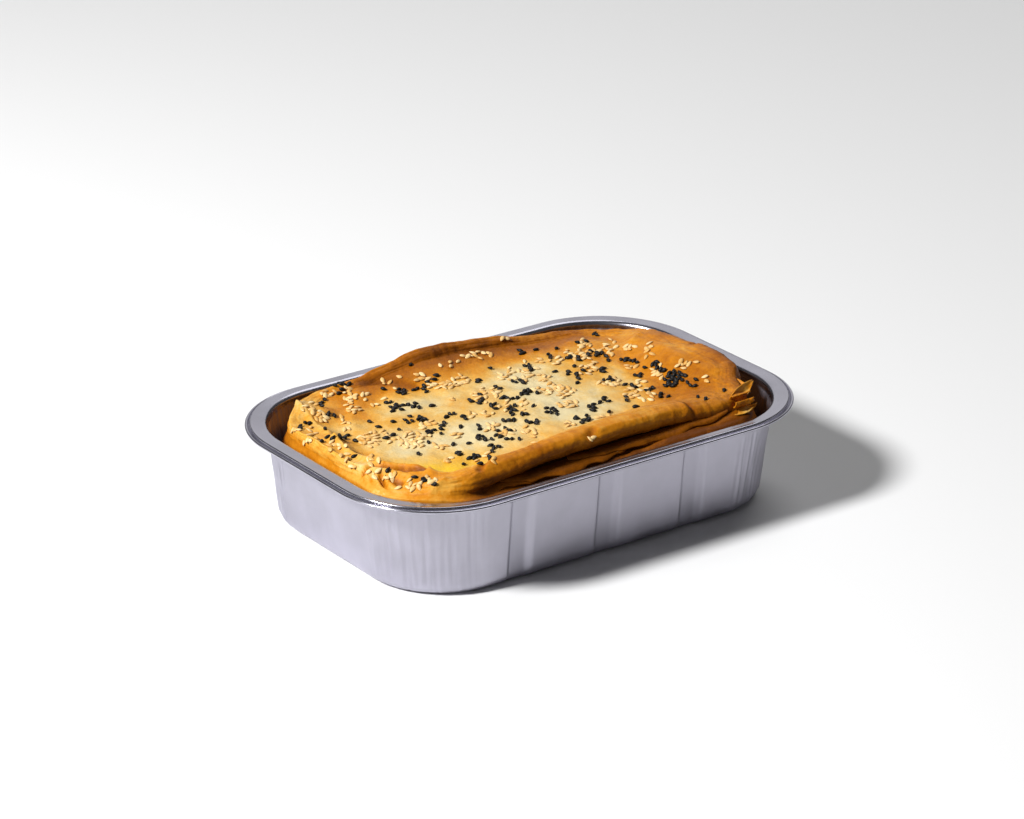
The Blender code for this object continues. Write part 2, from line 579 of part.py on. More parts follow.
def flake_mesh(index, x, y, z, heading, tilt, length, width, lift, wrap):
    """Pointed curl or open tube of filo that springs from the crust."""
    angle = math.radians(heading)
    lean = math.radians(tilt)
    bend = math.radians(wrap)
    along = Vector((math.cos(angle), math.sin(angle), 0.0))
    level = Vector((-math.sin(angle), math.cos(angle), 0.0))
    across = level * math.cos(lean) + Vector((0, 0, math.sin(lean)))
    out = along.cross(across)
    foot = Vector((x, y, z))
    sides = FLAKE_LEAST_ACROSS + round(FLAKE_ACROSS * wrap)
    top = []
    bottom = []
    for k in range(FLAKE_STEPS + 1):
        t = k / FLAKE_STEPS
        full = 1.0 if wrap >= TUBE_WRAP else math.sin(math.pi * (FLAKE_BASE + FLAKE_POINT * t))
        radius = (width * full + FLAKE_EDGE) / bend
        middle = foot + along * length * t + Vector((0, 0, lift * t**FLAKE_LIFT_POWER))
        row_top = []
        row_bottom = []
        for j in range(sides + 1):
            turn = bend * (j / sides - 0.5)
            inner = out * math.cos(turn) - across * math.sin(turn)
            point = middle + radius * (out - inner)
            row_top.append(point)
            row_bottom.append(point - FLAKE_THICKNESS * inner)
        top.append(row_top)
        bottom.append(row_bottom)
    return band_solid("flake_%d" % index, top, bottom)


def seed_mesh(name, size):
    """Teardrop seed along X with a blunt and a pointed end."""
    length, width, thick = size
    bm = bmesh.new()
    loops = []
    for place, girth in SEED_GIRTHS:
        loop = []
        for k in range(SEED_SIDES):
            a = 2 * math.pi * (k + 0.5) / SEED_SIDES
            y = 0.5 * width * girth * math.cos(a)
            z = 0.5 * thick * girth * math.sin(a)
            loop.append(bm.verts.new(((place - 0.5) * length, y, z)))
        loops.append(loop)
    blunt = bm.verts.new((-0.5 * length, 0, 0))
    point = bm.verts.new((0.5 * length, 0, 0))
    for a, b in zip(loops, loops[1:]):
        for k in range(SEED_SIDES):
            j = (k + 1) % SEED_SIDES
            bm.faces.new((a[k], a[j], b[j], b[k]))
    for k in range(SEED_SIDES):
        j = (k + 1) % SEED_SIDES
        bm.faces.new((blunt, loops[0][j], loops[0][k]))
        bm.faces.new((point, loops[-1][k], loops[-1][j]))
    bmesh.ops.recalc_face_normals(bm, faces=bm.faces[:])
    mesh = bpy.data.meshes.new(name)
    bm.to_mesh(mesh)
    bm.free()
    return mesh


def seed_places(draw, drifts, taken, surface, size):
    """Seeds dropped in drifts on the crust, each turned to lie along the surface."""
    places = []
    for centre_x, centre_y, spread, number in drifts:
        laid = 0
        for _ in range(number * SEED_TRIES):
            if laid == number:
                break
            x = draw.gauss(centre_x, spread)
            y = draw.gauss(centre_y, spread)
            above = Vector((x, y, 2 * TRAY_HEIGHT))
            hit, normal, _, _ = surface.ray_cast(above, Vector((0, 0, -1)))
            if hit is None or normal.z < SEED_LEVEL or hit.z < SEED_LOWEST:
                continue
            if any((hit - other).length < SEED_SPACING for other in taken):
                continue
            taken.append(hit)
            laid += 1
            turn = draw.uniform(0.0, 2 * math.pi)
            tip = draw.uniform(-SEED_TIP, SEED_TIP)
            spin = Matrix.Rotation(turn, 4, "Z") @ Matrix.Rotation(tip, 4, "Y")
            lie = normal.to_track_quat("Z", "Y").to_matrix().to_4x4()
            centre = hit + normal * size[2] * (0.5 - SEED_SINK)
            places.append(Matrix.Translation(centre) @ lie @ spin)
    return places


def largest_piece(mesh):
    """Keep the outer skin: sealed hollows and loose scraps go."""
    bm = bmesh.new()
    bm.from_mesh(mesh)
    bmesh.ops.remove_doubles(bm, verts=bm.verts[:], dist=0.000002)
    seen = set()
    pieces = []
    for start in bm.verts:
        if start.index in seen:
            continue
        stack = [start]
        seen.add(start.index)
        piece = []
        while stack:
            vert = stack.pop()
            piece.append(vert)
            for link in vert.link_edges:
                other = link.other_vert(vert)
                if other.index not in seen:
                    seen.add(other.index)
                    stack.append(other)
        pieces.append(piece)
    pieces.sort(key=len)
    for piece in pieces[:-1]:
        bmesh.ops.delete(bm, geom=piece, context="VERTS")
    bm.to_mesh(mesh)
    bm.free()


def fuse(crust, meshes):
    """Join the flakes and seeds to the crust with one union."""
    toppings = bpy.data.collections.new("toppings")
    bpy.context.scene.collection.children.link(toppings)
    for name, mesh, place in meshes:
        obj = bpy.data.objects.new(name, mesh)
        obj.matrix_world = place
        toppings.objects.link(obj)
    union = crust.modifiers.new("toppings", "BOOLEAN")
    union.operation = "UNION"
    union.operand_type = "COLLECTION"
    union.collection = toppings
    union.solver = "EXACT"
    depsgraph = bpy.context.evaluated_depsgraph_get()
    fused = bpy.data.meshes.new_from_object(crust.evaluated_get(depsgraph))
    crust.modifiers.remove(union)
    crust.data = fused
    for obj in list(toppings.objects):
        bpy.data.objects.remove(obj, do_unlink=True)
    bpy.data.collections.remove(toppings)
    largest_piece(fused)


def build_pie():
    crust = build_crust()
    mesh = crust.data
    points = [v.co.copy() for v in mesh.vertices]
    faces = [tuple(p.vertices) for p in mesh.polygons]
    surface = BVHTree.FromPolygons(points, faces)
    still = Matrix.Identity(4)
    pieces = []
    for i, sheet in enumerate(SHEETS):
        pieces.append(("sheet_%d" % i, sheet_mesh(i, *sheet), still))
    for i, flake in enumerate(FLAKES):
        pieces.append(("flake_%d" % i, flake_mesh(i, *flake), still))
    draw = random.Random(SEED_DRAW)
    taken = []
    for kind, size, drifts in (
        ("sesame", SESAME_SIZE, SESAME_DRIFTS),
        ("nigella", NIGELLA_SIZE, NIGELLA_DRIFTS),
    ):
        shape = seed_mesh(kind, size)
        for i, place in enumerate(seed_places(draw, drifts, taken, surface, size)):
            pieces.append(("%s_%d" % (kind, i), shape, place))
    fuse(crust, pieces)
    crust.data.shade_smooth()
    crust.data.set_sharp_from_angle(angle=math.radians(PIE_SHARP_ANGLE))
    return crust


clear_scene()
build_tray()
build_pie()
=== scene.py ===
"""Looks of the spanakopita in its foil tray: metal, baked filo, oil, seeds and loose flakes."""
import bisect
import math
import random

import bmesh
import bpy
import numpy as np
from mathutils import Matrix, Vector, noise
from mathutils.bvhtree import BVHTree


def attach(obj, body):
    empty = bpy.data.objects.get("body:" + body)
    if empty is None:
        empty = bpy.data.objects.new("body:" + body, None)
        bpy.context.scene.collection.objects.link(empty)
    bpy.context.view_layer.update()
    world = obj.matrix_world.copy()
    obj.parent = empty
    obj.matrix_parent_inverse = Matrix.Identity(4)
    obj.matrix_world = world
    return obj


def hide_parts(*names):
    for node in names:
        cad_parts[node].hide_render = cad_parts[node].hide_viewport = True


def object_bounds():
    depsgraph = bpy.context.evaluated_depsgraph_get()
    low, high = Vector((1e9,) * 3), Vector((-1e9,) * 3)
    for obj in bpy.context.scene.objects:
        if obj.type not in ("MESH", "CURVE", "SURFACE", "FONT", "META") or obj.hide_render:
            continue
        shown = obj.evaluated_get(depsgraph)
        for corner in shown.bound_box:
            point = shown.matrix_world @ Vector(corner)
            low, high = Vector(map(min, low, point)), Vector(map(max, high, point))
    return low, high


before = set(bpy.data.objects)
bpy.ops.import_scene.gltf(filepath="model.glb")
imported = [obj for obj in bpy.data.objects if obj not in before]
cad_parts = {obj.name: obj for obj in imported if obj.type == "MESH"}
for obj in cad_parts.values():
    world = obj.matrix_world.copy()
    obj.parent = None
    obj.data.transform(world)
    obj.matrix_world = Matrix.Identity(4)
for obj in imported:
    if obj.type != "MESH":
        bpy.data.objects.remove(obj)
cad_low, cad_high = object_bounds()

# Tray, outside sizes in metres
RIM_LENGTH = 0.2220
RIM_WIDTH = 0.1480
RIM_CORNER = 0.0457
TRAY_HEIGHT = 0.0442
WALL_TOP_LENGTH = 0.2038
WALL_TOP_WIDTH = 0.1336
WALL_TOP_CORNER = 0.0388
FLOOR_LENGTH = 0.1922
FLOOR_WIDTH = 0.1258
FLOOR_CORNER = 0.0350
FOIL = 0.0005
BASE_FILLET = 0.0060
CHANNEL_CENTRES = (-0.0480, -0.0040, 0.0400)
CHANNEL_WIDTH = 0.0100
CHANNEL_LEFT_FLANK = 0.0015
CHANNEL_RIGHT_FLANK = 0.0034
CHANNEL_DEPTH = 0.0018
TRAY_STEP = 0.0008
# Top of the wall's even stretch, and the bead of the lip: distance in from the rim, height, radius
WALL_EVEN_TO = 0.0402
BEAD = (0.00065, 0.04275, 0.00065)
# Radius of the bend from the flange down into the tray
MOUTH_BEND = 0.0022

# The way round the tray is a number from 0 to 8: near side 0-1, corner 1-2, right 2-3,
# corner 3-4, far 4-5, corner 5-6, left 6-7, corner 7-8. Rings start in the middle of the left.
SEAM_WAY = 6.5
# Crest of the crust: way round, distance in from the tray's wall, height above the table
CREST = (
    (0.09, 0.0125, 0.0520), (0.27, 0.0140, 0.0532), (0.43, 0.0145, 0.0540),
    (0.60, 0.0148, 0.0540), (0.79, 0.0155, 0.0528), (0.94, 0.0155, 0.0500),
    (1.15, 0.0162, 0.0488), (1.40, 0.0158, 0.0485), (1.75, 0.0168, 0.0500),
    (2.00, 0.0128, 0.0524),
    (2.30, 0.0120, 0.0534), (2.60, 0.0118, 0.0513), (2.95, 0.0100, 0.0489),
    (3.50, 0.0090, 0.0436), (4.08, 0.0075, 0.0450), (4.26, 0.0075, 0.0492),
    (4.42, 0.0075, 0.0516), (4.58, 0.0075, 0.0530), (4.74, 0.0078, 0.0502),
    (4.88, 0.0080, 0.0472), (5.20, 0.0095, 0.0458), (5.50, 0.0122, 0.0484),
    (5.85, 0.0085, 0.0462), (6.32, 0.0072, 0.0468), (6.64, 0.0070, 0.0460),
    (6.86, 0.0085, 0.0470), (7.30, 0.0090, 0.0474), (7.70, 0.0085, 0.0492),
)
# Flat band inside the crest: way round, width, drop from crest to its inner edge
BAND = (
    (0.10, 0.0030, 0.0010), (0.50, 0.0030, 0.0008), (0.90, 0.0050, 0.0006),
    (1.50, 0.0080, 0.0004), (2.30, 0.0090, 0.0006), (3.10, 0.0090, 0.0004),
    (3.80, 0.0050, 0.0004), (4.20, 0.0045, 0.0026), (4.55, 0.0048, 0.0036),
    (4.85, 0.0048, 0.0020), (5.20, 0.0060, 0.0006),
    (5.60, 0.0090, 0.0010), (6.20, 0.0120, 0.0018), (6.60, 0.0125, 0.0030),
    (6.95, 0.0115, 0.0012), (7.45, 0.0110, -0.0010), (7.85, 0.0060, 0.0002),
)
# Slope from the band down into the dish: way round, length
SLOPE = (
    (0.10, 0.0110), (0.50, 0.0120), (0.95, 0.0160), (1.60, 0.0220), (2.40, 0.0230),
    (3.30, 0.0180), (4.00, 0.0150), (4.60, 0.0190), (5.30, 0.0160), (6.00, 0.0090),
    (6.70, 0.0070), (7.40, 0.0070), (7.80, 0.0080),
)
# How far the crest is rolled over the layers below it, 0 for a plain face
ROLL = (
    (0.05, 0.55), (0.20, 1.0), (0.80, 1.0), (1.30, 0.8), (1.70, 0.55),
    (2.05, 0.75), (2.60, 0.8), (3.20, 0.4), (3.70, 0.2), (4.50, 0.4), (5.30, 0.1),
    (6.00, 0.0), (7.50, 0.0), (7.85, 0.2),
)
# Outer edge of the lower filo layers: way round, distance in from the wall, height
LAYERS = (
    (0.05, 0.0030, 0.0395), (0.30, 0.0045, 0.0380), (0.60, 0.0040, 0.0398),
    (0.90, 0.0030, 0.0418), (1.20, 0.0050, 0.0420), (1.60, 0.0100, 0.0405),
    (2.10, 0.0085, 0.0400), (2.80, 0.0060, 0.0400), (3.50, 0.0060, 0.0380),
    (4.50, 0.0045, 0.0400), (5.50, 0.0085, 0.0390), (6.10, 0.0050, 0.0400),
    (6.80, 0.0045, 0.0410), (7.20, 0.0022, 0.0425), (7.60, 0.0016, 0.0435),
    (7.90, 0.0020, 0.0410),
)
# How far the crust is baked, with painted shade, 0 cream to 1 dark: way round, below the face, face,
# crest, band, slope
# The dark levels of the far band, the right end and the layers below the near roll are partly painted
# shade
BAKING_AND_SHADE = (
    (0.10, 1.00, 0.68, 0.62, 0.52, 0.32), (0.50, 1.00, 0.58, 0.53, 0.48, 0.32),
    (0.90, 1.00, 0.66, 0.61, 0.60, 0.58), (1.40, 1.00, 0.84, 0.70, 0.64, 0.62),
    (2.00, 1.00, 0.94, 0.84, 0.68, 0.58), (2.60, 0.90, 0.82, 0.68, 0.60, 0.54),
    (3.30, 0.80, 0.66, 0.56, 0.55, 0.52), (3.90, 0.85, 0.70, 0.64, 0.70, 0.60),
    (4.30, 0.90, 0.74, 0.68, 0.94, 0.66), (4.70, 0.90, 0.78, 0.72, 0.96, 0.68),
    (5.10, 0.85, 0.58, 0.44, 0.48, 0.44), (5.60, 0.75, 0.48, 0.39, 0.42, 0.40),
    (6.20, 0.46, 0.34, 0.34, 0.42, 0.33), (6.80, 0.44, 0.33, 0.33, 0.48, 0.38),
    (7.30, 0.46, 0.38, 0.40, 0.52, 0.40), (7.70, 0.55, 0.44, 0.52, 0.54, 0.32),
)
# Ridges and creases of the top sheet: height, half width, then places in plan
FOLDS = (
    (0.0016, 0.0022, ((-0.0805, 0.0500), (-0.0825, 0.0330), (-0.0845, 0.0195), (-0.0872, 0.0102))),
    (0.0026, 0.0018, ((-0.0872, 0.0102), (-0.0891, -0.0036), (-0.0887, -0.0116), (-0.0876, -0.0192),
                      (-0.0860, -0.0240), (-0.0833, -0.0272), (-0.0809, -0.0308), (-0.0793, -0.0354),
                      (-0.0769, -0.0410))),
    (-0.0024, 0.0011, ((-0.1004, -0.0253), (-0.0985, -0.0232), (-0.0958, -0.0220), (-0.0928, -0.0219),
                       (-0.0898, -0.0231), (-0.0872, -0.0256), (-0.0850, -0.0290))),
    (-0.0030, 0.0012, ((-0.0838, -0.0300), (-0.0822, -0.0336), (-0.0798, -0.0374), (-0.0776, -0.0402))),
    (0.0016, 0.0013, ((-0.0966, -0.0233), (-0.0934, -0.0257), (-0.0908, -0.0288), (-0.0878, -0.0316),
                      (-0.0867, -0.0370), (-0.0850, -0.0410))),
    (0.0014, 0.0012, ((-0.0967, -0.0206), (-0.0988, -0.0264), (-0.1007, -0.0307))),
    (-0.0016, 0.0010, ((-0.0954, -0.0278), (-0.0979, -0.0315))),
    (-0.0026, 0.0011, ((-0.0925, -0.0307), (-0.0944, -0.0356), (-0.0956, -0.0394), (-0.0964, -0.0440))),
    (-0.0022, 0.0014, ((-0.0910, -0.0366), (-0.0905, -0.0415))),
    (0.0013, 0.0013, ((-0.0958, -0.0376), (-0.0972, -0.0452), (-0.0955, -0.0482), (-0.0916, -0.0510),
                      (-0.0874, -0.0539), (-0.0829, -0.0544), (-0.0775, -0.0536))),
    (0.0010, 0.0016, ((-0.0950, 0.0280), (-0.0955, 0.0190), (-0.0955, 0.0060), (-0.0955, -0.0090),
                      (-0.0965, -0.0160))),
    (0.0009, 0.0030, ((-0.0500, 0.0480), (-0.0640, 0.0330), (-0.0700, 0.0230))),
    (-0.0010, 0.0030, ((-0.0420, 0.0560), (-0.0330, 0.0500), (-0.0260, 0.0420))),
    (-0.0012, 0.0016, ((-0.0620, -0.0555), (-0.0560, -0.0520), (-0.0540, -0.0480))),
    (0.0010, 0.0016, ((-0.0590, -0.0560), (-0.0520, -0.0510))),
    (-0.0012, 0.0014, ((0.0465, -0.0520), (0.0475, -0.0575))),
    (0.0009, 0.0014, ((0.0440, -0.0530), (0.0445, -0.0570))),
    (-0.0010, 0.0016, ((-0.0075, -0.0560), (-0.0040, -0.0545))),
    (0.0008, 0.0040, ((0.0650, -0.0180), (0.0760, -0.0080), (0.0800, 0.0080))),
    (-0.0010, 0.0014, ((0.0900, -0.0020), (0.0945, -0.0040))),
    (0.0007, 0.0016, ((0.0780, 0.0250), (0.0855, 0.0290))),
    (0.0005, 0.0030, ((-0.0300, -0.0050), (-0.0100, -0.0100), (0.0150, -0.0050))),
    (0.0005, 0.0028, ((-0.0100, 0.0150), (0.0100, 0.0080), (0.0400, 0.0120))),
)
ROLL_RADIUS = 0.0042
PIE_TO_TRAY = 0.0009
SIDE_CLEARANCE = 0.0026
DISH_LEVEL = 0.0440
# Hollow and swell of the dish: height, middle in plan, reach
DISH_FORMS = ((-0.0016, -0.055, -0.038, 0.022), (0.0012, 0.005, -0.005, 0.026))
# The dish closes on a narrow ring along its middle
SPINE_HALF = 0.0340
SPINE_RING = 0.0030
RELIEF_HEIGHT = 0.0006
RELIEF_PITCH = 0.0110
CRUST_STEP = 0.00080

# Fine relief: layers below the roll and their pitch, wrinkles, streaks and pleats of the roll and
# band, wrinkles of the slope, ridges of the dish
LAYER_RELIEF = 0.00022
LAYER_PITCH = 0.0012
WRINKLE_RELIEF = 0.00034
STREAK_RELIEF = 0.00020
PLEAT_RELIEF = 0.00022
SLOPE_RELIEF = 0.00030
RIDGE_RELIEF = 0.00010
# Room left under the solid's top, and the height over which high places flatten out below it
TOP_ROOM = 0.0001
TOP_EASE = 0.0008

# Pool of oil in the dish: middle, length and width, and how far it slants
OIL_PLACE = (-0.0665, -0.0330)
OIL_LENGTH = 0.022
OIL_WIDTH = 0.011
OIL_SLANT = 0.35
# The dish turns browner to the right of this x, by so much over so far
BROWNER_FROM = 0.012
BROWNER_BY = 0.15
BROWNER_REACH = 0.030

# Seeds: length, width and thickness
SESAME_SIZE = (0.0034, 0.0020, 0.0010)
NIGELLA_SIZE = (0.0031, 0.0019, 0.0016)
SEED_DRAW = 17

# Camera, solved from the tray's rim: degrees and metres, and the focal length in pixels
CAMERA_AZIMUTH = -36.50
CAMERA_ELEVATION = 22.66
CAMERA_ROLL = 0.40
CAMERA_PLACE = (-0.8323, -1.1178, 0.6242)
CAMERA_FOCAL = 3603.3
PHOTO_WIDTH = 1024
PHOTO_HEIGHT = 819
SENSOR = 36.0


def hermite(t):
    """Weights of a smooth step's start, slope there, end and slope there, at a share of it."""
    return 2 * t**3 - 3 * t**2 + 1, t**3 - 2 * t**2 + t, -2 * t**3 + 3 * t**2, t**3 - t**2


def table_at(table, way, column):
    """Smooth value at a way round, through the table's stations and closed at 8."""
    places = [row[0] for row in table]
    count = len(table)
    way = way % 8.0
    i = bisect.bisect_right(places, way) - 1

    def station(k):
        return places[k % count] + 8.0 * (k // count), table[k % count][column]

    (p0, v0), (p1, v1), (p2, v2), (p3, v3) = (station(i + k) for k in (-1, 0, 1, 2))
    m1 = (v2 - v0) / (p2 - p0) * (p2 - p1)
    m2 = (v3 - v1) / (p3 - p1) * (p2 - p1)
    a, b, c, d = hermite((way - p1) / (p2 - p1))
    return a * v1 + b * m1 + c * v2 + d * m2


def outline(half_x, half_y, corner, way):
    """Point and inward normal on a rounded rectangle, as x, y, nx, ny."""
    way = way % 8.0
    leg = int(way)
    t = way - leg
    x = half_x - corner
    y = half_y - corner
    if leg % 2:
        quarter = leg // 2
        angle = math.radians(90.0 * (quarter - 1 + t))
        cx, cy = ((x, -y), (x, y), (-x, y), (-x, -y))[quarter]
        ox, oy = math.cos(angle), math.sin(angle)
        return cx + corner * ox, cy + corner * oy, -ox, -oy
    side = leg // 2
    ax, ay = ((-x, -half_y), (half_x, -y), (x, half_y), (-half_x, y))[side]
    bx, by = ((x, -half_y), (half_x, y), (-x, half_y), (-half_x, -y))[side]
    nx, ny = ((0, 1), (-1, 0), (0, -1), (1, 0))[side]
    return ax + t * (bx - ax), ay + t * (by - ay), nx, ny


def wall_at(height, way, inset=0.0):
    """Point on the tray wall's outer face at a height, moved in by an inset."""
    t = min(max(height / TRAY_HEIGHT, 0.0), 1.0)
    half_x = 0.5 * (FLOOR_LENGTH + t * (WALL_TOP_LENGTH - FLOOR_LENGTH))
    half_y = 0.5 * (FLOOR_WIDTH + t * (WALL_TOP_WIDTH - FLOOR_WIDTH))
    corner = FLOOR_CORNER + t * (WALL_TOP_CORNER - FLOOR_CORNER)
    x, y, nx, ny = outline(half_x, half_y, corner, way)
    return x + inset * nx, y + inset * ny


def even_ways(step, start):
    """Ways round at even distances along the wall's top, an even number of them."""
    fine = [start + 8.0 * k / 1600 for k in range(1601)]
    points = [wall_at(TRAY_HEIGHT, w) for w in fine]
    run = [0.0]
    for a, b in zip(points, points[1:]):
        run.append(run[-1] + math.dist(a, b))
    count = 2 * round(run[-1] / step / 2)
    ways = []
    for k in range(count):
        target = run[-1] * k / count
        i = bisect.bisect_right(run, target) - 1
        ways.append(fine[i] + (fine[i + 1] - fine[i]) * (target - run[i]) / (run[i + 1] - run[i]))
    return ways, run[-1] / count


def ring_mesh(name, rings, end_faces=None):
    """Closed skin over rings with equal numbers of points, flat-capped where no faces are given."""
    count = len(rings[0])
    verts = [point for ring in rings for point in ring]
    faces = []
    for r in range(len(rings) - 1):
        for i in range(count):
            j = (i + 1) % count
            faces.append((r * count + i, r * count + j, (r + 1) * count + j, (r + 1) * count + i))
    faces.append(tuple(reversed(range(count))))
    last = (len(rings) - 1) * count
    faces += end_faces or [tuple(range(last, last + count))]
    mesh = bpy.data.meshes.new(name)
    mesh.from_pydata(verts, [], faces)
    mesh.shade_smooth()
    return mesh


def link(name, mesh):
    """New piece in the scene, with its place in its mesh."""
    obj = bpy.data.objects.new(name, mesh)
    bpy.context.scene.collection.objects.link(obj)
    return obj


def store(mesh, name, values, kind="FLOAT"):
    """Keeps a number or a vector for each point of a mesh."""
    layer = mesh.attributes.new(name, kind, "POINT")
    key = "vector" if kind == "FLOAT_VECTOR" else "value"
    layer.data.foreach_set(key, np.array(values, dtype=np.float32).ravel())


def put(tree, kind, feeds=(), **settings):
    """Adds a node; feeds are values or sockets for its inputs."""
    made = tree.nodes.new(kind)
    for key, value in settings.items():
        setattr(made, key, value)
    for key, value in dict(feeds).items():
        if isinstance(value, bpy.types.NodeSocket):
            tree.links.new(value, made.inputs[key])
        else:
            made.inputs[key].default_value = value
    return made


def first(tree, kind, feeds=(), **settings):
    """Adds a node and gives its first output."""
    return put(tree, kind, feeds, **settings).outputs[0]


def maths(tree, operation, *values):
    return first(tree, "ShaderNodeMath", dict(enumerate(values)), operation=operation)


def times(tree, a, b):
    return maths(tree, "MULTIPLY", a, b)


def combined(tree, x=0.0, y=0.0, z=0.0):
    """Vector from three numbers or sockets."""
    return first(tree, "ShaderNodeCombineXYZ", {0: x, 1: y, 2: z})


def parts_of(tree, vector):
    return put(tree, "ShaderNodeSeparateXYZ", {0: vector}).outputs


def mapped(tree, value, start, end, low=0.0, high=1.0, **settings):
    """Value between start and end, made to run from low to high."""
    feeds = {"Value": value, "From Min": start, "From Max": end, "To Min": low, "To Max": high}
    return first(tree, "ShaderNodeMapRange", feeds, **settings)


def stored(tree, name, kind="FLOAT"):
    """Reads what store kept for each point."""
    return first(tree, "GeometryNodeInputNamedAttribute", {0: name}, data_type=kind)


def finish_tree(tree, geometry, material, out):
    """Ends a tree in real geometry with its material."""
    real = first(tree, "GeometryNodeRealizeInstances", {"Geometry": geometry})
    done = first(tree, "GeometryNodeSetMaterial", {"Geometry": real, "Material": material})
    tree.links.new(done, out["Geometry"])
    return tree


# Kind of tree input for each kind of value
SOCKETS = {
    float: "NodeSocketFloat",
    int: "NodeSocketInt",
    bpy.types.Material: "NodeSocketMaterial",
    bpy.types.Object: "NodeSocketObject",
}


def new_tree(name, sizes):
    """Geometry tree with a geometry input and named sizes."""
    tree = bpy.data.node_groups.new(name, "GeometryNodeTree")
    tree.interface.new_socket("Geometry", in_out="INPUT", socket_type="NodeSocketGeometry")
    for label, value in sizes.items():
        kind = SOCKETS[type(value)]
        tree.interface.new_socket(label, in_out="INPUT", socket_type=kind).default_value = value
    tree.interface.new_socket("Geometry", in_out="OUTPUT", socket_type="NodeSocketGeometry")
    return tree, tree.nodes.new("NodeGroupInput").outputs, tree.nodes.new("NodeGroupOutput").inputs


def bake_nodes(obj, tree):
    """Runs a geometry tree on an object and leaves its result as a plain mesh."""
    modifier = obj.modifiers.new(tree.name, "NODES")
    modifier.node_group = tree
    depsgraph = bpy.context.evaluated_depsgraph_get()
    mesh = bpy.data.meshes.new_from_object(obj.evaluated_get(depsgraph))
    obj.modifiers.remove(modifier)
    obj.data = mesh
    return obj


def principled(name, **inputs):
    """New material with constants on the Principled shader's own sockets."""
    mat = bpy.data.materials.new(name)
    mat.use_nodes = True
    shader = mat.node_tree.nodes["Principled BSDF"]
    for key, value in inputs.items():
        shader.inputs[key.replace("_", " ")].default_value = value
    return mat, mat.node_tree, shader


def ramp(tree, fac, stops):
    """Colour along a run of (place, colour) stops."""
    made = put(tree, "ShaderNodeValToRGB", {0: fac})
    line = made.color_ramp
    line.elements[0].position, line.elements[0].color = stops[0][0], (*stops[0][1], 1.0)
    line.elements[1].position, line.elements[1].color = stops[-1][0], (*stops[-1][1], 1.0)
    for place, colour in stops[1:-1]:
        line.elements.new(place).color = (*colour, 1.0)
    return made.outputs[0]


def mix(tree, fac, a, b):
    return put(tree, "ShaderNodeMix", {0: fac, 6: a, 7: b}, data_type="RGBA").outputs[2]


def noise_at(tree, vector, scale, detail=3.0, roughness=0.5):
    feeds = {"Vector": vector, "Scale": scale, "Detail": detail, "Roughness": roughness}
    return first(tree, "ShaderNodeTexNoise", feeds)


def uneven(tree, noise_value, amount, base):
    """Base raised or lowered by a noise about its middle."""
    return maths(tree, "MULTIPLY_ADD", maths(tree, "SUBTRACT", noise_value, 0.5), amount, base)


def foil_material():
    """Satin rolled foil with faint rolling streaks and a slightly cloudy shine."""
    mat, tree, shader = principled("foil", Metallic=1.0)
    place = put(tree, "ShaderNodeTexCoord").outputs["Object"]
    drawn_out = first(tree, "ShaderNodeMapping", {"Vector": place, "Scale": (420.0, 420.0, 9.0)})
    streak = noise_at(tree, drawn_out, 1.0, 2.0)
    cloud = noise_at(tree, place, 60.0, 3.0)
    tint = ramp(tree, cloud, ((0.30, (0.43, 0.42, 0.485)), (0.70, (0.51, 0.50, 0.575))))
    tree.links.new(tint, shader.inputs["Base Color"])
    rough = mapped(tree, cloud, 0.3, 0.7, 0.46, 0.54)
    lip = mapped(tree, parts_of(tree, place)[2], 0.0404, 0.0412, 1.0, 0.45)
    tree.links.new(times(tree, rough, lip), shader.inputs["Roughness"])
    rolled = first(tree, "ShaderNodeBump", {"Height": streak, "Strength": 0.12, "Distance": 0.0002})
    tree.links.new(rolled, shader.inputs["Normal"])
    return mat


def crust_material():
    """Baked filo: cream to golden to dark by how far it is baked and by painted shade, glossy and yellow
    where oiled.
    """
    mat, tree, shader = principled("crust", Specular_IOR_Level=0.12)
    place = put(tree, "ShaderNodeTexCoord").outputs["Object"]
    # The bake attribute holds how far each point is baked, with painted shade added
    bake = put(tree, "ShaderNodeAttribute", attribute_name="bake").outputs["Fac"]
    oil = put(tree, "ShaderNodeAttribute", attribute_name="oil").outputs["Fac"]
    fine = noise_at(tree, place, 420.0, 3.0, 0.6)
    level = uneven(tree, noise_at(tree, place, 95.0, 5.0, 0.65), 0.42, bake)
    level = uneven(tree, noise_at(tree, place, 900.0, 2.0), 0.14, level)
    level = uneven(tree, fine, 0.20, level)
    colour = ramp(tree, level, (
        (0.00, (0.66, 0.54, 0.295)),
        (0.16, (0.645, 0.43, 0.145)),
        (0.34, (0.63, 0.32, 0.048)),
        (0.52, (0.53, 0.190, 0.007)),
        (0.74, (0.31, 0.090, 0.002)),
        (1.00, (0.12, 0.031, 0.001)),
    ))
    pale = mapped(tree, bake, 0.34, 0.06)
    milk = mapped(tree, noise_at(tree, place, 70.0, 3.0, 0.55), 0.46, 0.66, 0.0, 0.62)
    milky = mix(tree, times(tree, pale, milk), colour, (0.54, 0.46, 0.27, 1.0))
    oiled = mix(tree, oil, milky, (0.70, 0.42, 0.015, 1.0))
    tree.links.new(oiled, shader.inputs["Base Color"])
    tree.links.new(mapped(tree, oil, 0.0, 1.0, 0.46, 0.18), shader.inputs["Roughness"])
    crinkle = noise_at(tree, place, 170.0, 5.0, 0.7)
    crinkled = first(tree, "ShaderNodeBump", {"Height": crinkle, "Strength": 0.55, "Distance": 0.0011})
    blisters = {"Height": fine, "Strength": 0.40, "Distance": 0.0003, "Normal": crinkled}
    tree.links.new(first(tree, "ShaderNodeBump", blisters), shader.inputs["Normal"])
    return mat


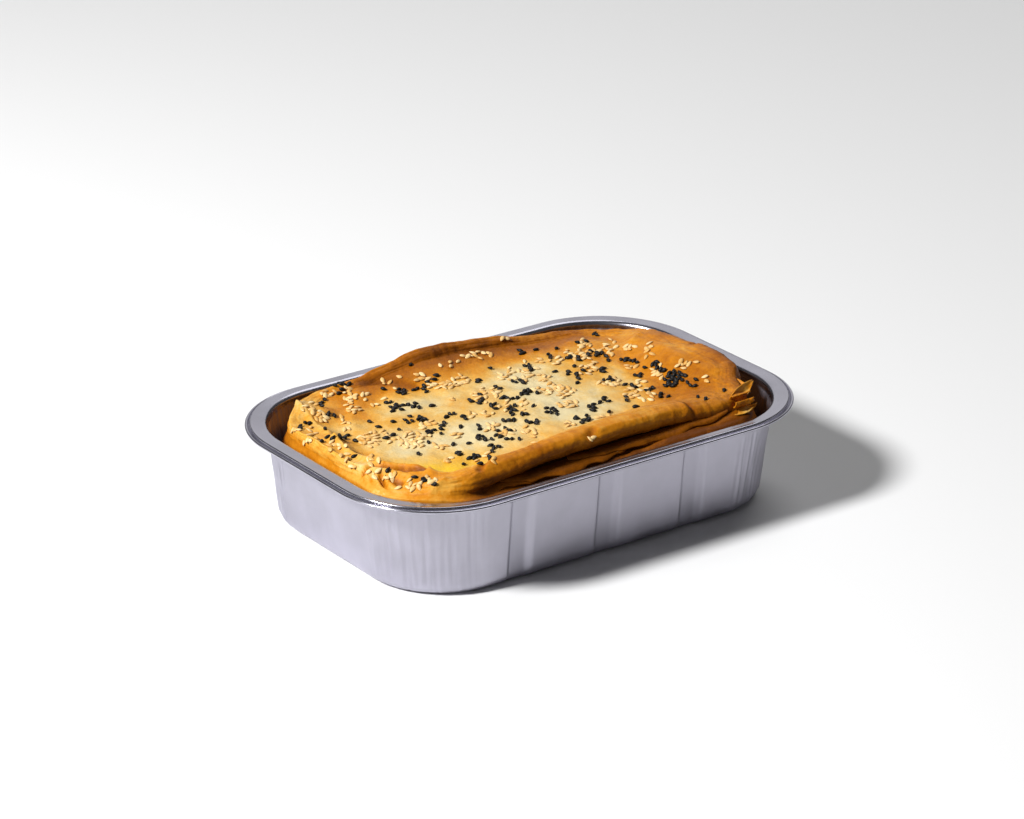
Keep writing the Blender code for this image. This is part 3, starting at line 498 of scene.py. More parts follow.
def seed_material(name, low, high, roughness):
    """Seed skin that varies from seed to seed."""
    mat, tree, shader = principled(name, Roughness=roughness, Specular_IOR_Level=0.25)
    toast = put(tree, "ShaderNodeAttribute", attribute_name="toast").outputs["Fac"]
    fine = noise_at(tree, put(tree, "ShaderNodeTexCoord").outputs["Object"], 900.0, 2.0)
    colour = ramp(tree, toast, ((0.0, low), (1.0, high)))
    shaded = mix(tree, times(tree, fine, 0.35), colour, (*[0.6 * c for c in high], 1.0))
    tree.links.new(shaded, shader.inputs["Base Color"])
    return mat


def tray_shell():
    """Foil tray from the middle of its underside, over the rolled lip and back in."""
    ways, step = even_ways(TRAY_STEP, SEAM_WAY)
    points = []
    weights = []
    insides = []
    runs = []
    top = TRAY_HEIGHT
    under = top - FOIL

    def ring(kind, inset, height, weight, level=None):
        """Ring in from the wall or the rim; weight is its share of the pressing."""
        row = []
        for k, way in enumerate(ways):
            if kind == "wall":
                x, y = wall_at(height, way, inset)
            else:
                ox, oy, nx, ny = outline(0.5 * RIM_LENGTH, 0.5 * RIM_WIDTH, RIM_CORNER, way)
                x, y = ox + inset * nx, oy + inset * ny
            row.append((x, y, height if level is None else level))
            weights.append(weight)
            insides.append(outline(1, 1, 0.5, way)[2:] + (0.0,))
            runs.append(k * step)
        points.append(row)

    def fillet(angle, inset):
        """Ring of the rounded edge between floor and wall."""
        lift = 1.0 - math.cos(angle)
        pull = 1.0 - math.sin(angle)
        radius = BASE_FILLET - inset
        ring("wall", inset + pull * radius, BASE_FILLET, math.sin(angle) ** 2, inset + lift * radius)

    fillet_angles = [math.radians(a) for a in range(0, 91, 15)]
    for angle in fillet_angles:
        fillet(angle, 0.0)
    levels = [BASE_FILLET + (WALL_EVEN_TO - BASE_FILLET) * k / 9 for k in range(1, 10)]
    for level in levels:
        ring("wall", 0.0, level, 1.0)
    # Bend from the wall out to the flange's underside
    ring("wall", 0.0, 0.0406, 0.7)
    ring("wall", -0.0005, 0.0411, 0.1)
    ring("wall", -0.0007, 0.0415, 0.0)
    ring("wall", -0.0008, under - 0.0009, 0.0)
    ring("wall", -0.0013, under - 0.0003, 0.0, under - 0.0003)
    ring("wall", -0.0022, under, 0.0, under)
    # Flange's underside, bead, groove behind it and flange's top, by distance in from the rim
    lip = [(0.0029, under), (0.0024, under - 0.0003), (0.0022, under - 0.0012)]
    bead_in, bead_height, bead_radius = BEAD
    for a in range(-150, 151, 25):
        out = bead_radius * math.cos(math.radians(a) + math.pi)
        lip.append((bead_in + out, bead_height + bead_radius * math.sin(math.radians(a))))
    lip += [(0.0014, 0.0422), (0.0019, 0.0421), (0.0021, 0.0425), (0.0021, 0.0438), (0.0023, 0.0441)]
    lip += [(0.0026, top), (0.0030, top - 0.0001), (0.0050, top - 0.0001)]
    for inset, height in lip:
        ring("rim", inset, height, 0.0)
    for a in range(0, 91, 15):
        turn = math.radians(a)
        inset = FOIL - MOUTH_BEND + MOUTH_BEND * math.sin(turn)
        ring("wall", inset, top, 0.0, top - 0.0001 - MOUTH_BEND * (1.0 - math.cos(turn)))
    ring("wall", FOIL, 0.0406, 0.7)
    for level in reversed(levels):
        ring("wall", FOIL, level, 1.0)
    for angle in reversed(fillet_angles):
        fillet(angle, FOIL)
    mesh = ring_mesh("foil_tray_shell", points)
    store(mesh, "wall", weights)
    store(mesh, "run", runs)
    store(mesh, "inside", insides, "FLOAT_VECTOR")
    return link("foil_tray_shell", mesh)


def pressed_wall_tree(mat):
    """Presses the channels into the long walls and gathers fine puckers at the corners."""
    tree, sizes, out = new_tree("pressed_wall", {
        "Channel Depth": CHANNEL_DEPTH,
        "Channel Width": CHANNEL_WIDTH,
        "Left Flank": CHANNEL_LEFT_FLANK,
        "Right Flank": CHANNEL_RIGHT_FLANK,
        "Pucker Depth": 0.00060,
        "Pucker Pitch": 0.0022,
        "Straight Half": 0.0600,
        "Material": mat,
    })
    run = stored(tree, "run")
    inside = stored(tree, "inside", "FLOAT_VECTOR")
    place = parts_of(tree, first(tree, "GeometryNodeInputPosition"))
    facing = maths(tree, "ABSOLUTE", parts_of(tree, inside)[1])
    half = times(tree, sizes["Channel Width"], 0.5)
    pressed = None
    for centre in CHANNEL_CENTRES:
        away = maths(tree, "SUBTRACT", place[0], centre)
        sides = []
        for turn, flank in ((-1.0, "Left Flank"), (1.0, "Right Flank")):
            start = maths(tree, "SUBTRACT", half, times(tree, sizes[flank], 0.5))
            end = maths(tree, "MULTIPLY_ADD", sizes[flank], 0.5, half)
            distance = times(tree, away, turn)
            sides.append(mapped(tree, distance, start, end, 1.0, 0.0, interpolation_type="SMOOTHSTEP"))
        dip = times(tree, *sides)
        pressed = dip if pressed is None else maths(tree, "ADD", pressed, dip)
    on_side = times(tree, pressed, maths(tree, "GREATER_THAN", facing, 0.999))
    channel = times(tree, on_side, sizes["Channel Depth"])

    bend_end = maths(tree, "ADD", sizes["Straight Half"], 0.012)
    far_out = maths(tree, "ABSOLUTE", place[0])
    corner = mapped(tree, far_out, sizes["Straight Half"], bend_end, interpolation_type="SMOOTHSTEP")
    past_middle = maths(tree, "GREATER_THAN", maths(tree, "ABSOLUTE", place[1]), 0.030)
    bent = times(tree, corner, past_middle)
    along = maths(tree, "DIVIDE", run, sizes["Pucker Pitch"])
    crimp_spot = combined(tree, along, times(tree, place[2], 28.0))
    crimp = maths(tree, "SUBTRACT", noise_at(tree, crimp_spot, 1.0, 1.0), 0.5)
    deep = times(tree, sizes["Pucker Depth"], 4.0)
    pucker = times(tree, times(tree, crimp, bent), deep)

    wobble_run = times(tree, run, 45.0)
    wobble_spot = combined(tree, wobble_run, times(tree, place[2], 25.0), 3.0)
    wobble = maths(tree, "SUBTRACT", noise_at(tree, wobble_spot, 1.0, 2.0), 0.5)
    dents = maths(tree, "ADD", channel, pucker)
    all_dents = maths(tree, "ADD", dents, times(tree, wobble, 0.0006))
    push = times(tree, all_dents, stored(tree, "wall"))
    offset = first(tree, "ShaderNodeVectorMath", {0: inside, "Scale": push}, operation="SCALE")
    moved = first(tree, "GeometryNodeSetPosition", {"Geometry": sizes["Geometry"], "Offset": offset})
    return finish_tree(tree, moved, sizes["Material"], out)


def relief(x, y):
    """Low unevenness of the baked sheets."""
    place = Vector((x, y, 0.0)) / RELIEF_PITCH
    return RELIEF_HEIGHT * (noise.noise(place) + 0.5 * noise.noise(2.3 * place))


def dish_height(x, y):
    """Floor of the dish: lowest near the front left corner, rising to the right."""
    height = DISH_LEVEL + (0.012 * (x + 0.02) + 0.010 * y)
    for rise, middle_x, middle_y, reach in DISH_FORMS:
        height += rise * math.exp(-((x - middle_x) ** 2 + (y - middle_y) ** 2) / reach**2)
    return height


def section(way):
    """Section of the pie at a way round: (inset, height) points, and the length of the slope."""
    crest_in = table_at(CREST, way, 1)
    crest_z = table_at(CREST, way, 2)
    band = table_at(BAND, way, 1)
    drop = table_at(BAND, way, 2)
    slope = table_at(SLOPE, way, 1)
    roll = min(max(table_at(ROLL, way, 1), 0.0), 1.0)
    layer_in = table_at(LAYERS, way, 1)
    layer_z = table_at(LAYERS, way, 2)
    r = ROLL_RADIUS

    def mixed(share, rolled_in, rolled_z):
        """Point between a plain face, at a share of its way down, and a rolled one."""
        plain_in = crest_in + share * (layer_in - crest_in)
        plain_z = crest_z + share * (layer_z - crest_z)
        return plain_in + roll * (rolled_in - plain_in), plain_z + roll * (rolled_z - plain_z)

    points = [
        (SIDE_CLEARANCE + 0.0006, 0.0300),
        (layer_in, layer_z),
        mixed(0.86, crest_in - 0.3 * r, min(layer_z + 0.0022, crest_z - 2.1 * r)),
        mixed(0.70, crest_in + 0.1 * r, crest_z - 2.0 * r),
        mixed(0.52, crest_in - 0.75 * r, crest_z - 1.85 * r),
        mixed(0.34, crest_in - 1.2 * r, crest_z - 1.1 * r),
        mixed(0.14, crest_in - 0.85 * r, crest_z - 0.3 * r),
        (crest_in, crest_z),
        (crest_in + 0.5 * band, crest_z - 0.35 * drop),
        (crest_in + band, crest_z - drop),
    ]
    return points, slope


def smooth_run(points, counts):
    """Points along a smooth curve through the given ones, with their place along the list."""
    p = np.array(points)
    gaps = np.maximum(np.linalg.norm(np.diff(p, axis=0), axis=1), 1e-6)
    slopes = np.zeros_like(p)
    slopes[1:-1] = (p[2:] - p[:-2]) / (gaps[1:] + gaps[:-1])[:, None]
    slopes[0] = (p[1] - p[0]) / gaps[0]
    slopes[-1] = (p[-1] - p[-2]) / gaps[-1]
    made = []
    place = []
    for i, count in enumerate(counts):
        reach = gaps[i]
        for k in range(count):
            t = k / count
            a, b, c, d = hermite(t)
            made.append(a * p[i] + b * reach * slopes[i] + c * p[i + 1] + d * reach * slopes[i + 1])
            place.append(i + t)
    made.append(p[-1])
    place.append(float(len(counts)))
    return made, place


# Points between the corners of the section, down the slope and on across the dish
SECTION_COUNTS = (4, 3, 3, 4, 5, 6, 6, 9, 10)
SLOPE_COUNT = 14
DISH_COUNT = 33
# Places along the section that the baking levels belong to, and the level of the dish
BAKE_PLACES = (1.0, 3.0, 4.4, 5.7, 7.0, 8.6, 9.4, 10.0, 10.3)
DISH_BAKE = 0.10


def folds_at(xs, ys):
    """Height that the folds add at points in plan, and how much painted shade a crease gives each point.

    High ridges have a sharp crest, low ones and creases are round."""
    height = np.zeros(xs.shape)
    shade = np.zeros(xs.shape)
    for lift, half, line in FOLDS:
        near = np.full(xs.shape, 1.0)
        for (ax, ay), (bx, by) in zip(line, line[1:]):
            dx, dy = bx - ax, by - ay
            t = np.clip(((xs - ax) * dx + (ys - ay) * dy) / (dx * dx + dy * dy), 0.0, 1.0)
            near = np.minimum(near, np.hypot(xs - ax - t * dx, ys - ay - t * dy))
        share = np.exp(-((near / half) ** (1.25 if lift > 0.0008 else 2.0)))
        height += lift * share
        if lift < 0:
            shade = np.maximum(shade, share * min(1.0, -lift / 0.002))
    return height, shade


def crust_body():
    """The pie's skin: flat underside, side, lower layers, roll, band, slope and dish."""
    ways, _ = even_ways(CRUST_STEP, SEAM_WAY)
    floor = FOIL + PIE_TO_TRAY
    columns = []
    shares = []
    for way in ways:
        points, slope = section(way)
        column = []
        share = []
        for inset, height in ((0.0062, floor), (0.0030, 0.0044), (SIDE_CLEARANCE, 0.0110)):
            column.append((*wall_at(height, way, inset), height))
            share.append(-1.0)
        run, place = smooth_run(points, SECTION_COUNTS)
        for (inset, height), where in zip(run, place):
            x, y = wall_at(height, way, inset)
            lift = 0.6 * relief(x, y) if where >= 1.0 else 0.0
            column.append((x, y, height + lift))
            share.append(where)
        inner_in, inner_z = points[-1]
        sx, sy = wall_at(TRAY_HEIGHT, way, inner_in)
        cx, cy, _, _ = outline(SPINE_HALF + SPINE_RING, SPINE_RING, SPINE_RING * 0.98, way)
        reach = math.dist((sx, sy), (cx, cy))
        for k in range(1, SLOPE_COUNT + 1):
            t = k / SLOPE_COUNT
            x = sx + (cx - sx) * t * slope / reach
            y = sy + (cy - sy) * t * slope / reach
            fall = 0.5 - 0.5 * math.cos(math.pi * t)
            height = inner_z + fall * (dish_height(x, y) - inner_z)
            column.append((x, y, height + relief(x, y)))
            share.append(9.0 + t)
        ex, ey = column[-1][:2]
        for k in range(1, DISH_COUNT + 1):
            t = k / DISH_COUNT
            x = ex + (cx - ex) * t
            y = ey + (cy - ey) * t
            column.append((x, y, dish_height(x, y) + relief(x, y)))
            share.append(10.0 + t)
        columns.append(column)
        shares.append(share)
    grid = np.array(columns).transpose(1, 0, 2)
    share = np.array(shares).T
    return ways, grid, share


def grid_normals(grid):
    """Outward normals of a grid of points whose columns go round the pie."""
    around = np.roll(grid, -1, axis=1) - np.roll(grid, 1, axis=1)
    up = np.gradient(grid, axis=0)
    normal = np.cross(around, up)
    return normal / np.maximum(np.linalg.norm(normal, axis=2, keepdims=True), 1e-12)


def build_crust(mat):
    """Crust with its folds, fine relief and pools of oil, and how far each point is baked, with painted
    shade in creases and shaded parts.
    """
    ways, grid, share = crust_body()
    rows, count = share.shape
    folds, crease_shade = folds_at(grid[:, :, 0], grid[:, :, 1])
    on_top = np.clip((share - 3.0) / 2.5, 0.0, 1.0)
    grid[:, :, 2] += folds * on_top
    normal = grid_normals(grid)
    bake = np.zeros(share.shape)
    oil = np.zeros(share.shape)
    push = np.zeros(share.shape)
    for c, way in enumerate(ways):
        rolled = min(max(table_at(ROLL, way, 1), 0.0), 1.0)
        # Levels from the table, which hold painted shade on the far band, the right end and below the near
        # roll
        below, face, crest, band, slope = (table_at(BAKING_AND_SHADE, way, k) for k in range(1, 6))
        under_roll = 0.6 * below + 0.4 * face
        inner = 0.5 * slope + 0.06
        levels = (below, below, under_roll, face, crest, band, slope, inner, DISH_BAKE)
        baked = np.interp(share[:, c], BAKE_PLACES, levels)
        for r in range(rows):
            s = share[r, c]
            if s < 1.0:
                bake[r, c] = 0.8
                continue
            here = Vector(grid[r, c])
            wrinkle = noise.noise(Vector((way * 8.0, s * 1.3, 0.0)))
            skin = noise.noise(here * 240.0)
            cloud = noise.noise(here * 48.0) + 0.5 * noise.noise(here * 110.0)
            if s < 3.4:
                # Layers below the roll
                layers = math.sin(here.z / LAYER_PITCH * 2.0 * math.pi + 4.0 * noise.noise(here * 60.0))
                push[r, c] = LAYER_RELIEF * layers * rolled + 0.00015 * skin
                bake[r, c] = baked[r] + 0.15 * cloud + 0.08 * layers * rolled
            elif s < 9.0:
                # Roll, crest and band
                streak = noise.noise(Vector((way * 60.0, s * 0.5, 4.0)))
                pleats = 1.0 - 2.0 * abs(noise.noise(Vector((way * 7.0, s * 2.6, 9.0))))
                fine = WRINKLE_RELIEF * wrinkle + 0.00010 * skin
                push[r, c] = fine + STREAK_RELIEF * streak * rolled + PLEAT_RELIEF * pleats
                bake[r, c] = baked[r] + 0.13 * cloud + 0.07 * streak - 0.06 * pleats
            else:
                # Slope and dish
                ridges = 1.0 - abs(noise.noise(here * 120.0)) * 2.0
                patches = noise.noise(Vector((here.x * 26.0, here.y * 40.0, 7.0)))
                edge = max(0.0, 10.0 - s)
                flat = 1.0 - edge
                browner = BROWNER_BY * min(max((here.x - BROWNER_FROM) / BROWNER_REACH, 0.0), 1.0)
                push[r, c] = SLOPE_RELIEF * wrinkle * edge + 0.00008 * skin + RIDGE_RELIEF * ridges * flat
                spotted = 0.05 * ridges + 0.36 * max(patches, -0.30) + browner
                bake[r, c] = baked[r] + 0.10 * cloud + spotted * flat
            across = here.x - OIL_PLACE[0]
            down = here.y - OIL_PLACE[1] + OIL_SLANT * across
            pool = math.exp(-((across / OIL_LENGTH) ** 2 + (down / OIL_WIDTH) ** 2))
            oil[r, c] = min(1.0, 1.15 * pool) if s > 9.2 else 0.0
    # Painted shade in the creases, and the tops of raised folds painted a little lighter
    bake += 0.50 * crease_shade * on_top
    bake -= 0.05 * np.clip(folds / 0.0015, 0.0, 1.0) * on_top
    grid = grid + normal * push[:, :, None]
    # High places flatten out just below the solid's top
    ceiling = cad_high[2] - TOP_ROOM
    knee = ceiling - TOP_EASE
    over = np.maximum(grid[:, :, 2] - knee, 0.0)
    grid[:, :, 2] += (ceiling - knee) * (1.0 - np.exp(-over / (ceiling - knee))) - over
    rings = [[tuple(p) for p in row] for row in grid]
    last = (rows - 1) * count
    half = count // 2
    middle = [(last + k, last + k + 1, last + count - k - 1, last + count - k) for k in range(1, half - 1)]
    middle.append((last, last + 1, last + count - 1))
    middle.append((last + half - 1, last + half, last + half + 1))
    mesh = ring_mesh("crust", rings, middle)
    store(mesh, "bake", bake)
    store(mesh, "oil", oil)
    mesh.materials.append(mat)
    return link("crust", mesh)


def seed_shape(name, size, sides, places):
    """Closed teardrop along X, from (place, girth) pairs between its two ends."""
    length, width, thick = size
    bm = bmesh.new()
    loops = []
    for place, girth in places:
        loop = []
        for k in range(sides):
            a = 2 * math.pi * k / sides
            loop.append(bm.verts.new((
                (place - 0.5) * length,
                0.5 * width * girth * math.cos(a),
                0.5 * thick * girth * math.sin(a),
            )))
        loops.append(loop)
    blunt = bm.verts.new((-0.5 * length, 0, 0))
    point = bm.verts.new((0.5 * length, 0, 0))
    for a, b in zip(loops, loops[1:]):
        for k in range(sides):
            j = (k + 1) % sides
            bm.faces.new((a[k], a[j], b[j], b[k]))
    for k in range(sides):
        j = (k + 1) % sides
        bm.faces.new((blunt, loops[0][j], loops[0][k]))
        bm.faces.new((point, loops[-1][k], loops[-1][j]))
    bmesh.ops.recalc_face_normals(bm, faces=bm.faces[:])
    mesh = bpy.data.meshes.new(name)
    bm.to_mesh(mesh)
    bm.free()
    mesh.shade_smooth()
    return mesh


def camera_axes():
    """Right, up and back of the camera."""
    azimuth = math.radians(CAMERA_AZIMUTH)
    elevation = math.radians(CAMERA_ELEVATION)
    roll = math.radians(CAMERA_ROLL)
    back = Vector((
        math.sin(azimuth) * math.cos(elevation),
        -math.cos(azimuth) * math.cos(elevation),
        math.sin(elevation),
    ))
    right = Vector((math.cos(azimuth), math.sin(azimuth), 0.0))
    up = back.cross(right)
    turned_right = right * math.cos(roll) + up * math.sin(roll)
    turned_up = up * math.cos(roll) - right * math.sin(roll)
    return turned_right, turned_up, back


def pixel_ray(px, py):
    """Direction from the camera through a pixel of the photograph's frame."""
    right, up, back = camera_axes()
    across = (px - 0.5 * PHOTO_WIDTH) / CAMERA_FOCAL
    down = (py - 0.5 * PHOTO_HEIGHT) / CAMERA_FOCAL
    return (right * across - up * down - back).normalized()


# Drifts of seeds: pixel in the photograph's frame, spread across and down, number of seeds
SESAME_DRIFTS = (
    (472, 357, 8, 4, 8), (487, 354, 3, 2, 3), (448, 365, 4, 2, 3), (398, 377, 2, 2, 1),
    (387, 382, 3, 2, 3), (396, 389, 2, 2, 1), (384, 397, 3, 2, 1), (420, 376, 5, 4, 5),
    (433, 386, 4, 3, 4), (449, 386, 8, 5, 14), (464, 380, 6, 5, 7), (452, 399, 3, 2, 2),
    (482, 394, 9, 5, 12), (505, 374, 8, 5, 7), (349, 391, 4, 3, 5), (350, 400, 4, 4, 7),
    (352, 409, 6, 4, 8), (366, 394, 3, 3, 3), (374, 406, 3, 3, 2), (312, 409, 9, 5, 9),
    (321, 417, 7, 4, 6), (326, 393, 10, 4, 6), (293, 430, 4, 2, 3), (311, 433, 5, 4, 5),
    (311, 442, 6, 3, 4), (335, 447, 10, 5, 8), (345, 458, 5, 3, 4), (354, 467, 4, 1, 2),
    (371, 462, 7, 5, 5), (371, 438, 9, 6, 20), (390, 439, 6, 3, 4), (414, 439, 12, 6, 25),
    (437, 446, 8, 3, 5), (421, 427, 5, 3, 3), (344, 422, 6, 5, 4), (348, 429, 4, 2, 2),
    (391, 478, 6, 4, 5), (375, 475, 5, 4, 4), (398, 489, 2, 1, 1), (413, 484, 6, 4, 7),
    (431, 481, 6, 2, 4), (453, 459, 4, 4, 3), (490, 460, 10, 5, 5), (507, 404, 7, 5, 5),
    (508, 432, 10, 3, 6), (492, 425, 5, 2, 3), (534, 436, 3, 5, 4), (530, 372, 10, 6, 6),
    (541, 389, 10, 5, 8), (563, 392, 8, 4, 5), (564, 404, 10, 4, 6), (590, 370, 9, 5, 6),
    (585, 352, 14, 5, 9), (610, 343, 7, 6, 6), (630, 348, 5, 4, 5), (647, 350, 4, 8, 6),
    (630, 390, 9, 5, 5), (650, 398, 9, 6, 8), (630, 366, 5, 3, 4), (616, 380, 6, 4, 4),
    (683, 365, 6, 3, 4), (697, 364, 2, 2, 1), (706, 378, 3, 5, 2), (605, 417, 7, 3, 3),
    (570, 350, 5, 4, 3), (540, 361, 6, 3, 4), (503, 341, 4, 3, 2), (656, 370, 6, 5, 4),
    (505, 378, 5, 3, 4), (522, 376, 6, 4, 6), (545, 378, 8, 4, 6), (556, 388, 10, 4, 10),
    (566, 394, 6, 3, 5), (570, 404, 8, 4, 6), (590, 368, 6, 4, 6), (580, 358, 8, 4, 6),
    (560, 362, 5, 3, 5), (604, 384, 5, 2, 4), (612, 383, 4, 3, 4), (640, 384, 6, 3, 4),
    (628, 394, 6, 4, 5), (660, 376, 4, 3, 3), (681, 364, 3, 2, 3), (520, 404, 8, 4, 5),
    (495, 394, 4, 4, 6), (486, 414, 4, 3, 4), (490, 430, 6, 3, 4), (530, 431, 5, 3, 4),
    (470, 415, 4, 3, 3), (455, 435, 5, 3, 4), (430, 425, 5, 4, 4), (568, 424, 6, 3, 4),
    (585, 345, 8, 4, 6), (610, 352, 5, 3, 4), (590, 439, 3, 1, 2),
)
NIGELLA_DRIFTS = (
    (340, 386, 6, 4, 6), (322, 402, 2, 5, 4), (331, 415, 3, 2, 2), (308, 424, 5, 1, 2),
    (300, 430, 2, 2, 2), (326, 429, 1, 1, 1), (345, 437, 9, 3, 8), (356, 456, 2, 1, 1),
    (384, 388, 2, 2, 1), (402, 391, 5, 4, 5), (415, 390, 3, 2, 2), (425, 386, 2, 4, 4),
    (435, 378, 2, 3, 2), (412, 365, 1, 1, 1), (389, 402, 3, 1, 2), (396, 409, 7, 4, 8),
    (408, 419, 5, 4, 4), (419, 407, 5, 2, 3), (434, 406, 2, 1, 1), (368, 423, 2, 1, 1),
    (380, 427, 2, 2, 1), (393, 423, 1, 1, 1), (422, 420, 4, 3, 5), (429, 433, 4, 2, 3),
    (441, 434, 1, 3, 2), (446, 426, 3, 2, 2), (460, 427, 2, 1, 1), (451, 417, 8, 3, 3),
    (390, 438, 4, 3, 2), (400, 432, 2, 2, 1), (419, 455, 2, 1, 1), (430, 443, 2, 1, 1),
    (454, 446, 3, 2, 1), (470, 444, 2, 1, 1), (459, 455, 3, 2, 2), (480, 457, 8, 3, 6),
    (494, 449, 6, 3, 4), (468, 465, 9, 2, 2), (490, 438, 12, 2, 6), (478, 430, 2, 5, 3),
    (478, 382, 2, 3, 2), (480, 397, 3, 3, 2), (472, 403, 3, 3, 2), (494, 407, 5, 3, 3),
    (498, 389, 3, 2, 2), (490, 369, 3, 1, 1), (522, 353, 3, 2, 3), (537, 351, 2, 1, 1),
    (549, 357, 5, 2, 3), (557, 348, 2, 1, 1), (578, 343, 8, 2, 2), (596, 335, 3, 3, 2),
    (572, 359, 7, 2, 5), (593, 353, 7, 4, 7), (606, 358, 3, 2, 2), (527, 366, 5, 3, 4),
    (572, 372, 9, 4, 4), (586, 371, 2, 1, 1), (604, 371, 3, 2, 3), (627, 361, 6, 2, 6),
    (555, 371, 2, 2, 1), (520, 382, 8, 2, 4), (576, 378, 3, 3, 3), (612, 380, 5, 2, 4),
    (638, 377, 4, 2, 3), (655, 366, 6, 3, 4), (662, 370, 5, 3, 3), (676, 377, 8, 5, 16),
    (669, 384, 5, 3, 4), (690, 385, 7, 4, 4), (724, 390, 1, 1, 1), (700, 399, 8, 1, 2),
    (627, 399, 3, 2, 2), (607, 401, 6, 2, 4), (634, 387, 6, 2, 3), (650, 390, 5, 3, 3),
    (664, 397, 7, 2, 3), (636, 407, 1, 1, 1), (531, 392, 8, 3, 6), (512, 399, 9, 1, 6),
    (534, 407, 2, 1, 1), (510, 411, 4, 4, 7), (524, 415, 4, 1, 3), (511, 421, 5, 1, 3),
    (532, 423, 6, 2, 4), (552, 412, 12, 3, 6), (576, 419, 5, 3, 3), (587, 420, 3, 4, 4),
    (594, 409, 5, 3, 4), (609, 412, 1, 1, 1), (506, 432, 5, 2, 3), (512, 439, 9, 2, 3),
    (568, 437, 1, 1, 1), (480, 402, 4, 4, 2), (466, 418, 4, 2, 2), (425, 480, 4, 3, 3),
    (436, 485, 2, 1, 1), (387, 471, 2, 1, 1), (322, 441, 2, 1, 1),
)
# Least distance between seeds, share of a drift's size that they spread by, tries for each seed,
# least upward part of the crust's slant where one lies, how far below the dish's level one may be,
# and rise of a seed's middle above the crust as a share of its thickness
SEED_GAP = 0.0016
DRIFT_SPREAD = 0.6
TRIES_PER_SEED = 12
SEED_UPRIGHT = 0.45
SEED_DEPTH = 0.004
SEED_RISE = 0.30


def seed_points(drifts, surface, thick, draw, taken):
    """Places of one kind of seed on the crust, each with the crust's normal."""
    origin = Vector(CAMERA_PLACE)
    lowest = DISH_LEVEL - SEED_DEPTH
    places = []
    for px, py, across, down, number in drifts:
        made = 0
        for _ in range(number * TRIES_PER_SEED):
            if made == number:
                break
            ray = pixel_ray(draw.gauss(px, DRIFT_SPREAD * across), draw.gauss(py, DRIFT_SPREAD * down))
            hit, normal, _, _ = surface.ray_cast(origin, ray)
            if hit is None or normal.z < SEED_UPRIGHT or not lowest < hit.z < cad_high[2] - thick:
                continue
            if min((math.dist(hit, other) for other in taken), default=1.0) < SEED_GAP:
                continue
            taken.append(hit)
            made += 1
            places.append((hit, normal))
    return places


def seed_lie_mesh(name, places, thick):
    """Loose points where seeds lie, each with the way up."""
    mesh = bpy.data.meshes.new(name)
    mesh.from_pydata([tuple(hit + normal * SEED_RISE * thick) for hit, normal in places], [], [])
    store(mesh, "lie", [tuple(normal) for _, normal in places], "FLOAT_VECTOR")
    return link(name, mesh)


def scatter_tree(name, mat, seed_object):
    """Lays one seed on each point, turned and tipped at random, and tells them apart."""
    tree, sizes, out = new_tree(name, {
        "Seed Object": seed_object,
        "Smallest": 0.86,
        "Largest": 1.12,
        "Tip": 0.28,
        "Draw": SEED_DRAW,
        "Material": mat,
    })

    def chance(low, high, key):
        """Random number for each seed."""
        number = maths(tree, "ADD", first(tree, "GeometryNodeInputIndex"), key)
        feeds = {2: low, 3: high, "ID": number, "Seed": sizes["Draw"]}
        return put(tree, "FunctionNodeRandomValue", feeds, data_type="FLOAT").outputs[1]

    lie = stored(tree, "lie", "FLOAT_VECTOR")
    aligned = first(tree, "FunctionNodeAlignRotationToVector", {"Vector": lie}, axis="Z")
    tip = sizes["Tip"]
    minus = times(tree, tip, -1.0)
    turn = combined(tree, chance(minus, tip, 0), chance(minus, tip, 4000), chance(0.0, 2 * math.pi, 8000))
    angles = first(tree, "FunctionNodeEulerToRotation", {0: turn})
    spun = first(tree, "FunctionNodeRotateRotation", {0: aligned, 1: angles}, rotation_space="LOCAL")
    seed = put(tree, "GeometryNodeObjectInfo", {"Object": sizes["Seed Object"]}).outputs["Geometry"]
    laid = first(tree, "GeometryNodeInstanceOnPoints", {
        "Points": first(tree, "GeometryNodeMeshToPoints", {"Mesh": sizes["Geometry"]}),
        "Instance": seed,
        "Rotation": spun,
        "Scale": chance(sizes["Smallest"], sizes["Largest"], 12000),
    })
    toast = {"Geometry": laid, "Name": "toast", "Value": chance(0.0, 1.0, 16000)}
    told = first(tree, "GeometryNodeStoreNamedAttribute", toast, data_type="FLOAT", domain="INSTANCE")
    return finish_tree(tree, told, sizes["Material"], out)


def lay_seeds(name, drifts, surface, size, sides, profile, mat, draw, taken):
    """All seeds of one kind as one piece, clear of those already laid."""
    places = seed_points(drifts, surface, size[2], draw, taken)
    piece = seed_lie_mesh(name, places, size[2])
    model = link(name + "_model", seed_shape(name + "_model", size, sides, profile))
    bake_nodes(piece, scatter_tree(name + "_scatter", mat, model))
    bpy.data.objects.remove(model, do_unlink=True)
    piece.data.shade_smooth()
    return piece


def sheet_solid(name, rows, thickness, bake):
    """Thin closed sheet of baked filo over a grid of points."""
    bm = bmesh.new()
    grid = [[bm.verts.new(p) for p in row] for row in rows]
    for a, b in zip(grid, grid[1:]):
        for k in range(len(a) - 1):
            bm.faces.new((a[k], a[k + 1], b[k + 1], b[k]))
    bm.normal_update()
    mesh = bpy.data.meshes.new(name)
    bm.to_mesh(mesh)
    bm.free()
    obj = link(name, mesh)
    thick = obj.modifiers.new("thickness", "SOLIDIFY")
    thick.thickness = thickness
    thick.offset = 0.0
    smooth = obj.modifiers.new("round", "SUBSURF")
    smooth.levels = 1
    smooth.render_levels = 1
    depsgraph = bpy.context.evaluated_depsgraph_get()
    made = bpy.data.meshes.new_from_object(obj.evaluated_get(depsgraph))
    bpy.data.objects.remove(obj, do_unlink=True)
    store(made, "bake", [bake + 0.25 * noise.noise(v.co * 260.0) for v in made.vertices])
    made.shade_smooth()
    return made


def join(name, meshes, mat):
    """One piece from several closed meshes."""
    bm = bmesh.new()
    for mesh in meshes:
        bm.from_mesh(mesh)
    made = bpy.data.meshes.new(name)
    bm.to_mesh(made)
    bm.free()
    made.materials.clear()
    made.materials.append(mat)
    made.shade_smooth()
    return link(name, made)


